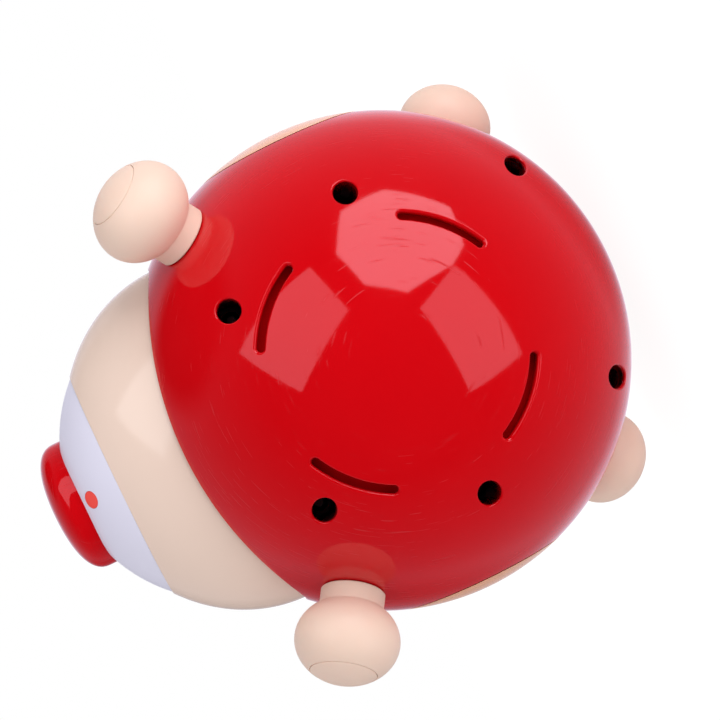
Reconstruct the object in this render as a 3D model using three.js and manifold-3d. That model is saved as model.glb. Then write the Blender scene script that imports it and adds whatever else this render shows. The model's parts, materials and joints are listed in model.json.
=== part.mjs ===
// A self-righting ball toy: a weighted ball body in two halves, a head with a cap, four ball limbs
// and a chime inside. Millimetres, +Z up, the front looks along -Y. The origin is on the surface the
// toy stands on, below the middle of the ball.

import * as THREE from 'three';
import { mergeVertices } from 'three/addons/utils/BufferGeometryUtils.js';
import Module from 'manifold-3d';

const wasm = await Module();
wasm.setup();

// Body ball
const BODY_RADIUS = 70;
const SHELL_WALL = 2.6;
const BASE_FLAT_RADIUS = 6;

// Screws that close the body, as places across and up from the middle of the ball
const SHELL_SCREW_PLACES = [[0.399, 0.473], [0.604, -0.093], [0.446, -0.75]]
  .map((place) => place.map((share) => BODY_RADIUS * share));
const RECESS_RADIUS = 3.2;
const RECESS_TUBE_WALL = 1.8;
const RECESS_SEAT = 3;
const SHELL_POST_RADIUS = 4.4;
const SHELL_SCREW_LENGTH = 15;

// One self-tapping screw for every joint, and its clearance in its hole
const SCREW_SHANK_RADIUS = 1.4;
const SCREW_HEAD_RADIUS = 2.7;
const SCREW_HEAD_HEIGHT = 2;
const SCREW_CLEARANCE = 0.3;
const SCREW_POINT_SPACE = 1;
const DECK_SCREW_LENGTH = 7;
const HEAD_SCREW_LENGTH = 10;

// Gap between pieces that rest on one another
const SEAT_GAP = 0.3;

// Sound slots in the rear half: arcs in one ring, each closed by a thin trough inside the wall
const SLOT_RING_RADIUS = BODY_RADIUS * 0.491;
const SLOT_RING_DROP = BODY_RADIUS * 0.008;
const SLOT_WIDTH = 2.1;
const SLOT_DEPTH = SHELL_WALL * 2;
const SLOT_TROUGH_WALL = 1.2;
const SLOT_HALF_ANGLE = 17.7;
const SLOT_ANGLES = [45, 135, 225, 315];

// Round caps on the sides
const SIDE_CAP_EDGE_RADIUS = BODY_RADIUS * 0.354;
const SIDE_CAP_PLUG_RADIUS = SIDE_CAP_EDGE_RADIUS * 0.694;
const SIDE_CAP_PLUG_LENGTH = 3;

// Limbs: directions out from the middle of the ball, and the shape along them
const ARM_DIRECTION = [0.748, 0.427, 0.508];
const FOOT_DIRECTION = [0.663, -0.442, -0.604];
const LIMB_STAND_OFF = 13.5;
const LIMB_REACH = BODY_RADIUS + LIMB_STAND_OFF;
const LIMB_BALL_RADIUS = 14;
const LIMB_BALL_HALF_LENGTH = 11.6;
const LIMB_COLLAR_RADIUS = 8.6;
const LIMB_STUB_RADIUS = 5.8;
const LIMB_STUB_TAIL = 3;
const LIMB_TIP_RADIUS = 8.8;
const LIMB_TIP_DEPTH = 1.5;
const RETAINER_RADIUS = 9;
const RETAINER_THICKNESS = 1.6;
const RETAINER_GROOVE_DEPTH = 1;

// Head: round from behind, flatter from front to back, with its middle above the middle of the ball
const HEAD_HEIGHT = BODY_RADIUS * 0.6664;
const HEAD_RADIUS = BODY_RADIUS * 0.713;
const HEAD_HALF_HEIGHT = HEAD_RADIUS * 0.896;
const HEAD_BAND_HALF_DEPTH = HEAD_RADIUS * 0.106;
const HEAD_CROWN_DEPTH = HEAD_RADIUS * 0.631;
const HEAD_WALL = 2.4;
const HEAD_FLANGE = 2.5;
const HEAD_FLANGE_OPENING = HEAD_RADIUS * 0.641;
const HEAD_BOSS_RADIUS = 3.6;
const HEAD_BOSS_HEIGHT = 10;
const HEAD_SCREW_PLACE = [HEAD_RADIUS * 0.76, HEAD_RADIUS * 0.3];
const NECK_CLEARANCE = 0.4;

// Deck that carries the head, and the lugs that carry the deck
const DECK_THICKNESS = 3;
const DECK_TOP = BODY_RADIUS * 0.603;
const DECK_EDGE_GAP = 2.6;
const DECK_RADIUS = Math.sqrt((BODY_RADIUS - SHELL_WALL) ** 2 - DECK_TOP ** 2) - DECK_EDGE_GAP;
const DECK_SCREW_PLACE = [DECK_RADIUS * 0.18, DECK_RADIUS * 0.92];
const LUG_HALF_WIDTH = DECK_RADIUS * 0.28;
const LUG_INNER = DECK_RADIUS * 0.82;
const LUG_HEIGHT = 5.7;

// Cap on the head, its knob and its stud, with heights above the middle of the head
const HAT_TILT = 1.5;
const HAT_EDGE_HEIGHT = HEAD_RADIUS * 0.669;
const HAT_RADIUS = HEAD_RADIUS * 0.901;
const HAT_HEIGHT = HEAD_RADIUS * 0.0485;
const HAT_CROWN_DEPTH = HEAD_RADIUS * 0.581;
const HAT_SKIRT_RADIUS = HEAD_RADIUS * 0.42;
const HAT_SKIRT_WALL = 2;
const HAT_SKIRT_DEPTH = 5;
const KNOB_RADIUS = HEAD_RADIUS * 0.373;
const KNOB_FLATNESS = 0.88;
const KNOB_TOP = HEAD_RADIUS * 1.078;
const KNOB_DOME = 8;
const KNOB_FULLNESS = 2.5;
const STUD_HEIGHT = HAT_RADIUS * 0.868;
const STUD_RADIUS = 2.45;
const STUD_LENGTH = 4;

// Ballast and chime
const BALLAST_RADIUS = BODY_RADIUS * 0.357;
const BALLAST_TOP = -BODY_RADIUS * 0.571;
const CHIME_BASE_RADIUS = BODY_RADIUS * 0.457;
const CHIME_BASE_THICKNESS = 4;
const BALLAST_SCREW_LENGTH = 16;
const HOLD_DOWN_HALF_WIDTH = 6;
const HOLD_DOWN_THICKNESS = 3;
const HOLD_DOWN_OVERLAP = 4;
const CHIME_ROD_RADIUS = 1.5;
const CHIME_ROD_TOP = -BODY_RADIUS * 0.114;
const CHIME_ROD_PLACE = [BODY_RADIUS * 0.0714, BODY_RADIUS * 0.2171];
const STRIKER_PIVOT_DROP = 6.2;
const STRIKER_LENGTH = BODY_RADIUS * 0.7286;
const STRIKER_BALL_RADIUS = 7;
const STRIKER_ROD_RADIUS = 1.3;
const STRIKER_EYE_RADIUS = 4;
const STRIKER_EYE_HALF_WIDTH = 3;
const STRIKER_PIN_RADIUS = 1.5;
const EAR_GAP = 1;
const EAR_THICKNESS = 2.5;
const EAR_HALF_DEPTH = 4.5;
const EAR_BELOW_PIN = 3.5;

// How finely round shapes are divided
const BALL_SEGMENTS = 48;
const INNER_SEGMENTS = 24;
const HEAD_SEGMENTS = 36;
const LIMB_SEGMENTS = 16;
const SMALL_SEGMENTS = 8;
const ARC_STEPS = 8;
const SHORT_ARC_STEPS = 3;

// Worked out from the sizes above
const BODY_CENTRE = Math.sqrt(BODY_RADIUS ** 2 - BASE_FLAT_RADIUS ** 2);
const INNER_RADIUS = BODY_RADIUS - SHELL_WALL;
const MIDDLE_RADIUS = BODY_RADIUS - SHELL_WALL / 2;
const REACH = BODY_RADIUS * 2;
const SCREW_HOLE_RADIUS = SCREW_SHANK_RADIUS + SCREW_CLEARANCE;
const DECK_UNDERSIDE = DECK_TOP - DECK_THICKNESS;
const HEAD_BOTTOM = DECK_TOP + SEAT_GAP;
const CHIME_BASE_BOTTOM = BALLAST_TOP + SEAT_GAP;
const CHIME_BASE_TOP = CHIME_BASE_BOTTOM + CHIME_BASE_THICKNESS;
const SIDE_CAP_PLANE = Math.sqrt(BODY_RADIUS ** 2 - SIDE_CAP_EDGE_RADIUS ** 2);
const STRIKER_PIVOT = DECK_UNDERSIDE - STRIKER_PIVOT_DROP;
const RETAINER_SEAT = Math.sqrt(INNER_RADIUS ** 2 - RETAINER_RADIUS ** 2);

// Finishes
const finishes = {
  redShell: { color: 0xc90f1b, roughness: 0.12, metalness: 0 },
  cream: { color: 0xe9d6c4, roughness: 0.2, metalness: 0 },
  peach: { color: 0xf2d6bf, roughness: 0.5, metalness: 0 },
  lilacWhite: { color: 0xdcdaea, roughness: 0.3, metalness: 0 },
  ochre: { color: 0xdba968, roughness: 0.25, metalness: 0 },
  orangeRed: { color: 0xf04a3e, roughness: 0.3, metalness: 0 },
  greyPlastic: { color: 0x8d9096, roughness: 0.5, metalness: 0 },
  steel: { color: 0xb9bcc0, roughness: 0.3, metalness: 1 },
  castIron: { color: 0x4a4b4d, roughness: 0.7, metalness: 0.9 },
};

// Closed solid from a geometry, with its shared corners merged
function solid(geometry) {
  const bare = geometry.clone();
  bare.deleteAttribute('normal');
  bare.deleteAttribute('uv');
  const merged = mergeVertices(bare, 1e-4);
  const index = merged.index.array;
  const triangles = [];
  for (let i = 0; i < index.length; i += 3) {
    const [a, b, c] = index.slice(i, i + 3);
    if (a !== b && b !== c && c !== a) {
      triangles.push(a, b, c);
    }
  }
  return new wasm.Manifold(new wasm.Mesh({
    numProp: 3,
    vertProperties: new Float32Array(merged.attributes.position.array),
    triVerts: new Uint32Array(triangles),
  }));
}

function mesh(name, body, finish) {
  const result = body.getMesh();
  const geometry = new THREE.BufferGeometry();
  geometry.setAttribute('position', new THREE.BufferAttribute(result.vertProperties, 3));
  geometry.setIndex(new THREE.BufferAttribute(result.triVerts, 1));
  geometry.computeVertexNormals();
  const piece = new THREE.Mesh(geometry, new THREE.MeshStandardMaterial(finishes[finish]));
  piece.name = name;
  return piece;
}

function joined(bodies) {
  return bodies.reduce((sum, body) => sum.add(body));
}

// Block between two corners
function block(from, to) {
  const size = to.map((value, axis) => value - from[axis]);
  const geometry = new THREE.BoxGeometry(...size);
  geometry.translate(...to.map((value, axis) => (value + from[axis]) / 2));
  return solid(geometry);
}

// Round bar along x, y or z, at a place across that axis
function bar(axis, radius, from, to, [first, second] = [0, 0], segments = SMALL_SEGMENTS) {
  const geometry = new THREE.CylinderGeometry(radius, radius, to - from, segments);
  const middle = (from + to) / 2;
  if (axis === 'x') {
    geometry.rotateZ(-Math.PI / 2).translate(middle, first, second);
  } else if (axis === 'y') {
    geometry.translate(first, middle, second);
  } else {
    geometry.rotateX(Math.PI / 2).translate(first, second, middle);
  }
  return solid(geometry);
}

function ball(radius, segments) {
  return solid(new THREE.SphereGeometry(radius, segments, segments / 2));
}

// Turned shape about the y axis from [radius, height] points that start and end on the axis
function turned(points, segments) {
  return new THREE.LatheGeometry(points.map(([x, y]) => new THREE.Vector2(x, y)), segments);
}

// Points on an ellipse arc, as [radius, height], between two angles in degrees from the equator
function ellipseArc(radius, halfLength, middle, fromAngle, toAngle, steps) {
  const points = [];
  for (let i = 0; i <= steps; i++) {
    const angle = THREE.MathUtils.degToRad(fromAngle + (toAngle - fromAngle) * i / steps);
    points.push([Math.abs(radius * Math.cos(angle)), middle + halfLength * Math.sin(angle)]);
  }
  points.forEach((point) => {
    if (point[0] < 1e-6) {
      point[0] = 0;
    }
  });
  return points;
}

// Self-tapping screw along y, its head's underside at zero, pointing towards -y
function screw(length) {
  return solid(turned([
    [0, -length],
    [SCREW_SHANK_RADIUS * 0.4, -length],
    [SCREW_SHANK_RADIUS, -length + SCREW_SHANK_RADIUS],
    [SCREW_SHANK_RADIUS, 0],
    [SCREW_HEAD_RADIUS, 0],
    [SCREW_HEAD_RADIUS, SCREW_HEAD_HEIGHT / 2],
    [SCREW_HEAD_RADIUS / 2, SCREW_HEAD_HEIGHT],
    [0, SCREW_HEAD_HEIGHT],
  ], SMALL_SEGMENTS));
}

// The head and the cap as balls flattened from front to back
const headForm = {
  halfWidth: HEAD_RADIUS,
  halfHeight: HEAD_HALF_HEIGHT,
  crown: HEAD_CROWN_DEPTH,
  height: HEAD_HEIGHT,
};
const hatForm = {
  halfWidth: HAT_RADIUS,
  halfHeight: HAT_RADIUS,
  crown: HAT_CROWN_DEPTH,
  height: HEAD_HEIGHT + HAT_HEIGHT,
};

// Flattened ball grown by a clearance, turned about the front-to-back axis
function flatBall({ halfWidth, halfHeight, crown, height }, growth, segments) {
  const radius = halfWidth + growth;
  const front = ellipseArc(radius, crown + growth, -HEAD_BAND_HALF_DEPTH, -90, 0, ARC_STEPS);
  const rear = ellipseArc(radius, crown + growth, HEAD_BAND_HALF_DEPTH, 0, 90, ARC_STEPS);
  const geometry = turned([...front, ...rear], segments);
  geometry.scale(1, 1, (halfHeight + growth) / radius);
  return solid(geometry).translate([0, 0, height]);
}

// Both sides of a list of places, left first
function mirrored(places) {
  return places.flatMap(([x, z]) => [[x, z], [-x, z]]);
}

// All four corners of a place in plan
function corners([x, y]) {
  return [[x, y], [-x, y], [x, -y], [-x, -y]];
}

const limbs = [
  { name: 'arm_left', direction: ARM_DIRECTION, side: 1 },
  { name: 'arm_right', direction: ARM_DIRECTION, side: -1 },
  { name: 'foot_left', direction: FOOT_DIRECTION, side: 1 },
  { name: 'foot_right', direction: FOOT_DIRECTION, side: -1 },
].map(({ name, direction: [x, y, z], side }) => {
  const axis = new THREE.Vector3(side * x, y, z).normalize();
  const turn = new THREE.Quaternion().setFromUnitVectors(new THREE.Vector3(0, 1, 0), axis);
  return { name, turn };
});

// Round cut along one limb's axis, between two distances from the middle of the ball
function limbBore({ turn }, radius, from, to) {
  const geometry = new THREE.CylinderGeometry(radius, radius, to - from, LIMB_SEGMENTS);
  geometry.translate(0, (from + to) / 2, 0).applyQuaternion(turn);
  return solid(geometry);
}

// Hole in the shell wall for one limb's stub, with a flat seat inside for its retainer
function limbHole(limb) {
  return limbBore(limb, LIMB_STUB_RADIUS + SEAT_GAP, RETAINER_SEAT - SHELL_WALL, REACH)
    .add(limbBore(limb, RETAINER_RADIUS + SEAT_GAP, RETAINER_SEAT - SHELL_WALL, RETAINER_SEAT));
}

// Arc with round ends, drawn out along y as far as a depth below the ball
function slotBlock(angle, width, depth) {
  const half = THREE.MathUtils.degToRad(SLOT_HALF_ANGLE);
  const middle = THREE.MathUtils.degToRad(angle);
  const start = middle - half;
  const end = middle + half;
  const radius = width / 2;
  const outline = new THREE.Shape();
  outline.absarc(0, 0, SLOT_RING_RADIUS + radius, start, end, false);
  outline.absarc(
    SLOT_RING_RADIUS * Math.cos(end), SLOT_RING_RADIUS * Math.sin(end), radius, end, end + Math.PI, false);
  outline.absarc(0, 0, SLOT_RING_RADIUS - radius, end, start, true);
  outline.absarc(
    SLOT_RING_RADIUS * Math.cos(start), SLOT_RING_RADIUS * Math.sin(start),
    radius, start + Math.PI, start + 2 * Math.PI, false);
  const geometry = new THREE.ExtrudeGeometry(
    outline, { depth: REACH, bevelEnabled: false, curveSegments: SHORT_ARC_STEPS + 1 });
  geometry.rotateX(-Math.PI / 2).translate(0, 0, -SLOT_RING_DROP);
  return solid(geometry).subtract(ball(BODY_RADIUS - depth, BALL_SEGMENTS));
}

// One sound slot, and the trough that closes it
function soundSlot(angle) {
  return slotBlock(angle, SLOT_WIDTH, SLOT_DEPTH);
}

function slotTrough(angle) {
  return slotBlock(angle, SLOT_WIDTH + 2 * SLOT_TROUGH_WALL, SLOT_DEPTH + SLOT_TROUGH_WALL);
}

// Lug inside a shell, on the front (-1) or the rear (1), that carries the deck
function deckLug(side) {
  const top = DECK_UNDERSIDE - SEAT_GAP;
  const ends = [side * LUG_INNER, side * REACH].sort((a, b) => a - b);
  return block([-LUG_HALF_WIDTH, ends[0], top - LUG_HEIGHT], [LUG_HALF_WIDTH, ends[1], top]);
}

// Rib inside a shell that holds the chime base and the ballast down
function holdDown(side) {
  const bottom = CHIME_BASE_TOP + SEAT_GAP;
  const ends = [side * (CHIME_BASE_RADIUS - HOLD_DOWN_OVERLAP), side * REACH].sort((a, b) => a - b);
  return block(
    [-HOLD_DOWN_HALF_WIDTH, ends[0], bottom],
    [HOLD_DOWN_HALF_WIDTH, ends[1], bottom + HOLD_DOWN_THICKNESS]);
}

const screwPlaces = mirrored(SHELL_SCREW_PLACES);
const bodyBall = ball(BODY_RADIUS, BALL_SEGMENTS)
  .subtract(block([-REACH, -REACH, -REACH], [REACH, REACH, -BODY_CENTRE]));
const hollow = ball(INNER_RADIUS, INNER_SEGMENTS);
const insideWall = ball(MIDDLE_RADIUS, INNER_SEGMENTS);
const headRoom = flatBall(headForm, NECK_CLEARANCE, HEAD_SEGMENTS)
  .subtract(block([-REACH, -REACH, -REACH], [REACH, REACH, DECK_UNDERSIDE]));

// Room for the side caps: a flat land, and a round opening in it for the plug
const sideRooms = [1, -1].map((side) => {
  const land = [side * (SIDE_CAP_PLANE - SEAT_GAP), side * REACH].sort((a, b) => a - b);
  const plugEnd = SIDE_CAP_PLANE - SIDE_CAP_PLUG_LENGTH - SEAT_GAP;
  const opening = [side * plugEnd, side * REACH].sort((a, b) => a - b);
  return block([land[0], -REACH, -REACH], [land[1], REACH, REACH])
    .add(bar('x', SIDE_CAP_PLUG_RADIUS + SEAT_GAP, opening[0], opening[1], [0, 0], HEAD_SEGMENTS));
});

// One half of the body: its wall, the features inside it, and everything cut through both
function bodyHalf(side, features, cuts) {
  const ends = [0, side * REACH].sort((a, b) => a - b);
  const half = block([-REACH, ends[0], -REACH], [REACH, ends[1], REACH]);
  const inside = joined([...features, deckLug(side), holdDown(side)]).intersect(insideWall);
  const deckHoles = corners(DECK_SCREW_PLACE)
    .map((place) => bar('z', SCREW_HOLE_RADIUS, DECK_TOP - DECK_SCREW_LENGTH - SCREW_POINT_SPACE, DECK_TOP, place));
  return bodyBall.subtract(hollow)
    .add(inside)
    .intersect(half)
    .subtract(joined([headRoom, ...sideRooms, ...deckHoles, ...limbs.map(limbHole), ...cuts]));
}

function rearShell() {
  const tubes = screwPlaces.map((place) => bar('y', RECESS_RADIUS + RECESS_TUBE_WALL, 0, REACH, place));
  const recesses = screwPlaces
    .map((place) => bar('y', RECESS_RADIUS, RECESS_SEAT, REACH, place, LIMB_SEGMENTS));
  const pilots = screwPlaces.map((place) => bar('y', SCREW_HOLE_RADIUS, -REACH, REACH, place));
  const troughs = SLOT_ANGLES.map(slotTrough);
  return bodyHalf(1, [...tubes, ...troughs], [...recesses, ...pilots, ...SLOT_ANGLES.map(soundSlot)]);
}

function frontShell() {
  const depth = RECESS_SEAT - SHELL_SCREW_LENGTH - SCREW_POINT_SPACE;
  const posts = screwPlaces.map((place) => bar('y', SHELL_POST_RADIUS, -REACH, 0, place));
  const pilots = screwPlaces.map((place) => bar('y', SCREW_HOLE_RADIUS, depth, REACH, place));
  return bodyHalf(-1, posts, pilots);
}

// Round cap that closes the side opening and follows the ball
function sideCap(side) {
  const ends = [side * SIDE_CAP_PLANE, side * REACH].sort((a, b) => a - b);
  const plug = [side * (SIDE_CAP_PLANE - SIDE_CAP_PLUG_LENGTH), side * (SIDE_CAP_PLANE + SIDE_CAP_PLUG_LENGTH / 3)]
    .sort((a, b) => a - b);
  return ball(BODY_RADIUS, BALL_SEGMENTS)
    .intersect(block([ends[0], -REACH, -REACH], [ends[1], REACH, REACH]))
    .add(bar('x', SIDE_CAP_PLUG_RADIUS, plug[0], plug[1], [0, 0], INNER_SEGMENTS));
}

// Ball limb turned about its own axis: stub, groove, collar, ball and the seat of its end disc
const limbSeatRadius = BODY_RADIUS + SEAT_GAP;
const grooveTop = RETAINER_SEAT;
const grooveBottom = grooveTop - RETAINER_THICKNESS - 2 * SEAT_GAP;
const tipSeatRadius = LIMB_TIP_RADIUS + SEAT_GAP;

function heightOnBall(radius) {
  return LIMB_REACH + LIMB_BALL_HALF_LENGTH * Math.sqrt(1 - (radius / LIMB_BALL_RADIUS) ** 2);
}

function angleOnBall(radius) {
  return THREE.MathUtils.radToDeg(Math.acos(radius / LIMB_BALL_RADIUS));
}

function limbBall() {
  const grooveRadius = LIMB_STUB_RADIUS - RETAINER_GROOVE_DEPTH;
  const tipFloor = heightOnBall(tipSeatRadius) - LIMB_TIP_DEPTH - SEAT_GAP;
  const arc = ellipseArc(
    LIMB_BALL_RADIUS, LIMB_BALL_HALF_LENGTH, LIMB_REACH,
    -angleOnBall(LIMB_COLLAR_RADIUS), angleOnBall(tipSeatRadius), ARC_STEPS);
  return solid(turned([
    [0, grooveBottom - LIMB_STUB_TAIL],
    [grooveRadius, grooveBottom - LIMB_STUB_TAIL],
    [LIMB_STUB_RADIUS, grooveBottom - LIMB_STUB_TAIL / 2],
    [LIMB_STUB_RADIUS, grooveBottom],
    [grooveRadius, grooveBottom],
    [grooveRadius, grooveTop],
    [LIMB_STUB_RADIUS, grooveTop],
    [LIMB_STUB_RADIUS, Math.sqrt(limbSeatRadius ** 2 - LIMB_STUB_RADIUS ** 2)],
    [LIMB_COLLAR_RADIUS, Math.sqrt(limbSeatRadius ** 2 - LIMB_COLLAR_RADIUS ** 2)],
    ...arc,
    [tipSeatRadius, tipFloor],
    [0, tipFloor],
  ], LIMB_SEGMENTS));
}

function limbTip() {
  const floor = heightOnBall(tipSeatRadius) - LIMB_TIP_DEPTH;
  const arc = ellipseArc(
    LIMB_BALL_RADIUS, LIMB_BALL_HALF_LENGTH, LIMB_REACH, angleOnBall(LIMB_TIP_RADIUS), 90, SHORT_ARC_STEPS);
  return solid(turned([[0, floor], [LIMB_TIP_RADIUS, floor], ...arc], LIMB_SEGMENTS));
}

function retainer() {
  const bottom = grooveBottom + SEAT_GAP;
  const bore = LIMB_STUB_RADIUS - RETAINER_GROOVE_DEPTH + SEAT_GAP;
  return solid(turned([
    [bore, bottom],
    [RETAINER_RADIUS, bottom],
    [RETAINER_RADIUS, bottom + RETAINER_THICKNESS],
    [bore, bottom + RETAINER_THICKNESS],
    [bore, bottom],
  ], LIMB_SEGMENTS));
}

// Head wall with a flange and screw bosses at its open bottom, open at the top below the cap
const hatTurn = new THREE.Matrix4().makeTranslation(0, 0, HEAD_HEIGHT)
  .multiply(new THREE.Matrix4().makeRotationX(-THREE.MathUtils.degToRad(HAT_TILT)));

// Solid made in the cap's own upright frame, moved onto the tilted head
function onHat(geometry) {
  return solid(geometry.applyMatrix4(hatTurn));
}

function aboveHatPlane(height) {
  return onHat(new THREE.BoxGeometry(REACH, REACH, REACH).translate(0, 0, height + REACH / 2));
}

const headOuter = flatBall(headForm, 0, HEAD_SEGMENTS);
const headInner = flatBall(headForm, -HEAD_WALL, INNER_SEGMENTS);
const hatOuter = flatBall(hatForm, 0, HEAD_SEGMENTS);
const hatInner = flatBall(hatForm, -HEAD_WALL, INNER_SEGMENTS);
const headScrewPlaces = corners(HEAD_SCREW_PLACE);

function headHalf(side) {
  const ends = [0, side * REACH].sort((a, b) => a - b);
  const half = block([-REACH, ends[0], HEAD_BOTTOM], [REACH, ends[1], REACH]);
  const flange = headOuter
    .intersect(block([-REACH, -REACH, HEAD_BOTTOM], [REACH, REACH, HEAD_BOTTOM + HEAD_FLANGE]))
    .subtract(bar('z', HEAD_FLANGE_OPENING, -REACH, REACH, [0, 0], INNER_SEGMENTS));
  const bosses = headScrewPlaces
    .map((place) => bar('z', HEAD_BOSS_RADIUS, HEAD_BOTTOM, HEAD_BOTTOM + HEAD_BOSS_HEIGHT, place));
  const pilotTop = DECK_UNDERSIDE + HEAD_SCREW_LENGTH + SEAT_GAP;
  const pilots = headScrewPlaces.map((place) => bar('z', SCREW_HOLE_RADIUS, 0, pilotTop, place));
  return headOuter.subtract(headInner)
    .subtract(aboveHatPlane(HAT_EDGE_HEIGHT))
    .add(joined([flange, ...bosses]))
    .subtract(joined(pilots))
    .intersect(half);
}

// Stud frame: square to the cap where it sits, on the middle line at the back
const studRise = Math.sqrt(1 - (STUD_HEIGHT / HAT_RADIUS) ** 2);
const studPlace = new THREE.Vector3(
  0, HEAD_BAND_HALF_DEPTH + HAT_CROWN_DEPTH * studRise, HEAD_HEIGHT + HAT_HEIGHT + STUD_HEIGHT);
const studNormal = new THREE.Vector3(0, studRise / HAT_CROWN_DEPTH, STUD_HEIGHT / HAT_RADIUS ** 2)
  .normalize();
const studTurn = new THREE.Quaternion().setFromUnitVectors(new THREE.Vector3(0, 1, 0), studNormal);

function studBar(radius, below) {
  const geometry = new THREE.CylinderGeometry(radius, radius, REACH, LIMB_SEGMENTS);
  geometry.translate(0, REACH / 2 - below, 0).applyQuaternion(studTurn);
  return solid(geometry.translate(studPlace.x, studPlace.y, studPlace.z));
}

function hatCap() {
  const edge = HAT_EDGE_HEIGHT + SEAT_GAP;
  const skirt = onHat(turned([
    [HAT_SKIRT_RADIUS - HAT_SKIRT_WALL, edge - HAT_SKIRT_DEPTH],
    [HAT_SKIRT_RADIUS, edge - HAT_SKIRT_DEPTH],
    [HAT_SKIRT_RADIUS, REACH],
    [HAT_SKIRT_RADIUS - HAT_SKIRT_WALL, REACH],
    [HAT_SKIRT_RADIUS - HAT_SKIRT_WALL, edge - HAT_SKIRT_DEPTH],
  ], INNER_SEGMENTS).rotateX(Math.PI / 2));
  return hatOuter.subtract(hatInner)
    .intersect(aboveHatPlane(edge))
    .add(skirt.intersect(flatBall(hatForm, -HEAD_WALL / 2, INNER_SEGMENTS)))
    .subtract(studBar(STUD_RADIUS + SEAT_GAP, REACH / 2));
}

function hatStud() {
  return studBar(STUD_RADIUS, STUD_LENGTH).intersect(hatOuter);
}

function hatKnob() {
  const power = 2 / KNOB_FULLNESS;
  const dome = ellipseArc(1, 1, 0, 0, 90, ARC_STEPS).map(([across, up]) => [
    KNOB_RADIUS * across ** power,
    KNOB_TOP - KNOB_DOME + KNOB_DOME * up ** power,
  ]);
  const geometry = turned([
    [0, HAT_EDGE_HEIGHT],
    [KNOB_RADIUS, HAT_EDGE_HEIGHT],
    ...dome,
  ], INNER_SEGMENTS).rotateX(Math.PI / 2).scale(1, KNOB_FLATNESS, 1);
  return solid(geometry.translate(0, 0, HEAD_HEIGHT))
    .subtract(flatBall(hatForm, SEAT_GAP, HEAD_SEGMENTS));
}

// Deck under the head, with the ears that carry the striker's pin
function neckPlate() {
  const earInner = STRIKER_EYE_HALF_WIDTH + EAR_GAP;
  const ears = [1, -1].map((side) => {
    const ends = [side * earInner, side * (earInner + EAR_THICKNESS)].sort((a, b) => a - b);
    return block(
      [ends[0], -EAR_HALF_DEPTH, STRIKER_PIVOT - EAR_BELOW_PIN],
      [ends[1], EAR_HALF_DEPTH, DECK_TOP - DECK_THICKNESS / 2]);
  });
  const holes = [...corners(DECK_SCREW_PLACE), ...headScrewPlaces]
    .map((place) => bar('z', SCREW_HOLE_RADIUS, 0, REACH, place));
  const pinHole = bar('x', STRIKER_PIN_RADIUS + SEAT_GAP, -REACH, REACH, [0, STRIKER_PIVOT]);
  return bar('z', DECK_RADIUS, DECK_UNDERSIDE, DECK_TOP, [0, 0], HEAD_SEGMENTS)
    .add(joined(ears))
    .subtract(joined([...holes, pinHole]));
}

function strikerPin() {
  const half = STRIKER_EYE_HALF_WIDTH + EAR_GAP + EAR_THICKNESS;
  return bar('x', STRIKER_PIN_RADIUS, -half, half, [0, STRIKER_PIVOT]);
}

// Swinging hammer: an eye on the pin, a rod and a ball
function striker() {
  const ballHeight = STRIKER_PIVOT - STRIKER_LENGTH;
  return joined([
    bar('x', STRIKER_EYE_RADIUS, -STRIKER_EYE_HALF_WIDTH, STRIKER_EYE_HALF_WIDTH, [0, STRIKER_PIVOT]),
    bar('z', STRIKER_ROD_RADIUS, ballHeight, STRIKER_PIVOT - STRIKER_PIN_RADIUS),
    ball(STRIKER_BALL_RADIUS, LIMB_SEGMENTS).translate([0, 0, ballHeight]),
  ]).subtract(bar('x', STRIKER_PIN_RADIUS + SEAT_GAP, -REACH, REACH, [0, STRIKER_PIVOT]));
}

// Iron weight that fits the bottom of the ball, with a blind hole for its screw
function ballast() {
  const hole = bar('z', SCREW_HOLE_RADIUS, CHIME_BASE_TOP - BALLAST_SCREW_LENGTH - SCREW_POINT_SPACE, 0);
  return ball(INNER_RADIUS - SEAT_GAP, INNER_SEGMENTS)
    .intersect(bar('z', BALLAST_RADIUS, -REACH, BALLAST_TOP, [0, 0], HEAD_SEGMENTS))
    .subtract(hole);
}

function chimeBase() {
  const holes = corners(CHIME_ROD_PLACE)
    .map((place) => bar('z', CHIME_ROD_RADIUS + SEAT_GAP, -REACH, 0, place));
  return bar('z', CHIME_BASE_RADIUS, CHIME_BASE_BOTTOM, CHIME_BASE_TOP, [0, 0], HEAD_SEGMENTS)
    .subtract(joined([...holes, bar('z', SCREW_HOLE_RADIUS, -REACH, 0)]));
}

function chimeRod(place) {
  return bar('z', CHIME_ROD_RADIUS, CHIME_BASE_BOTTOM, CHIME_ROD_TOP, place);
}

// Assembly
const toy = new THREE.Group();
toy.position.z = BODY_CENTRE;

toy.add(mesh('rear_shell', rearShell(), 'redShell'));
toy.add(mesh('front_shell', frontShell(), 'redShell'));
toy.add(mesh('side_cap_left', sideCap(1), 'ochre'));
toy.add(mesh('side_cap_right', sideCap(-1), 'ochre'));
toy.add(mesh('head_rear', headHalf(1), 'cream'));
toy.add(mesh('head_front', headHalf(-1), 'cream'));
toy.add(mesh('hat_cap', hatCap(), 'lilacWhite'));
toy.add(mesh('hat_knob', hatKnob(), 'redShell'));
toy.add(mesh('hat_stud', hatStud(), 'orangeRed'));
toy.add(mesh('neck_plate', neckPlate(), 'greyPlastic'));
toy.add(mesh('striker', striker(), 'steel'));
toy.add(mesh('striker_pin', strikerPin(), 'steel'));
toy.add(mesh('ballast', ballast(), 'castIron'));
toy.add(mesh('chime_base', chimeBase(), 'greyPlastic'));
corners(CHIME_ROD_PLACE).forEach((place, i) => {
  toy.add(mesh(`chime_rod_${i + 1}`, chimeRod(place), 'steel'));
});

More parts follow.
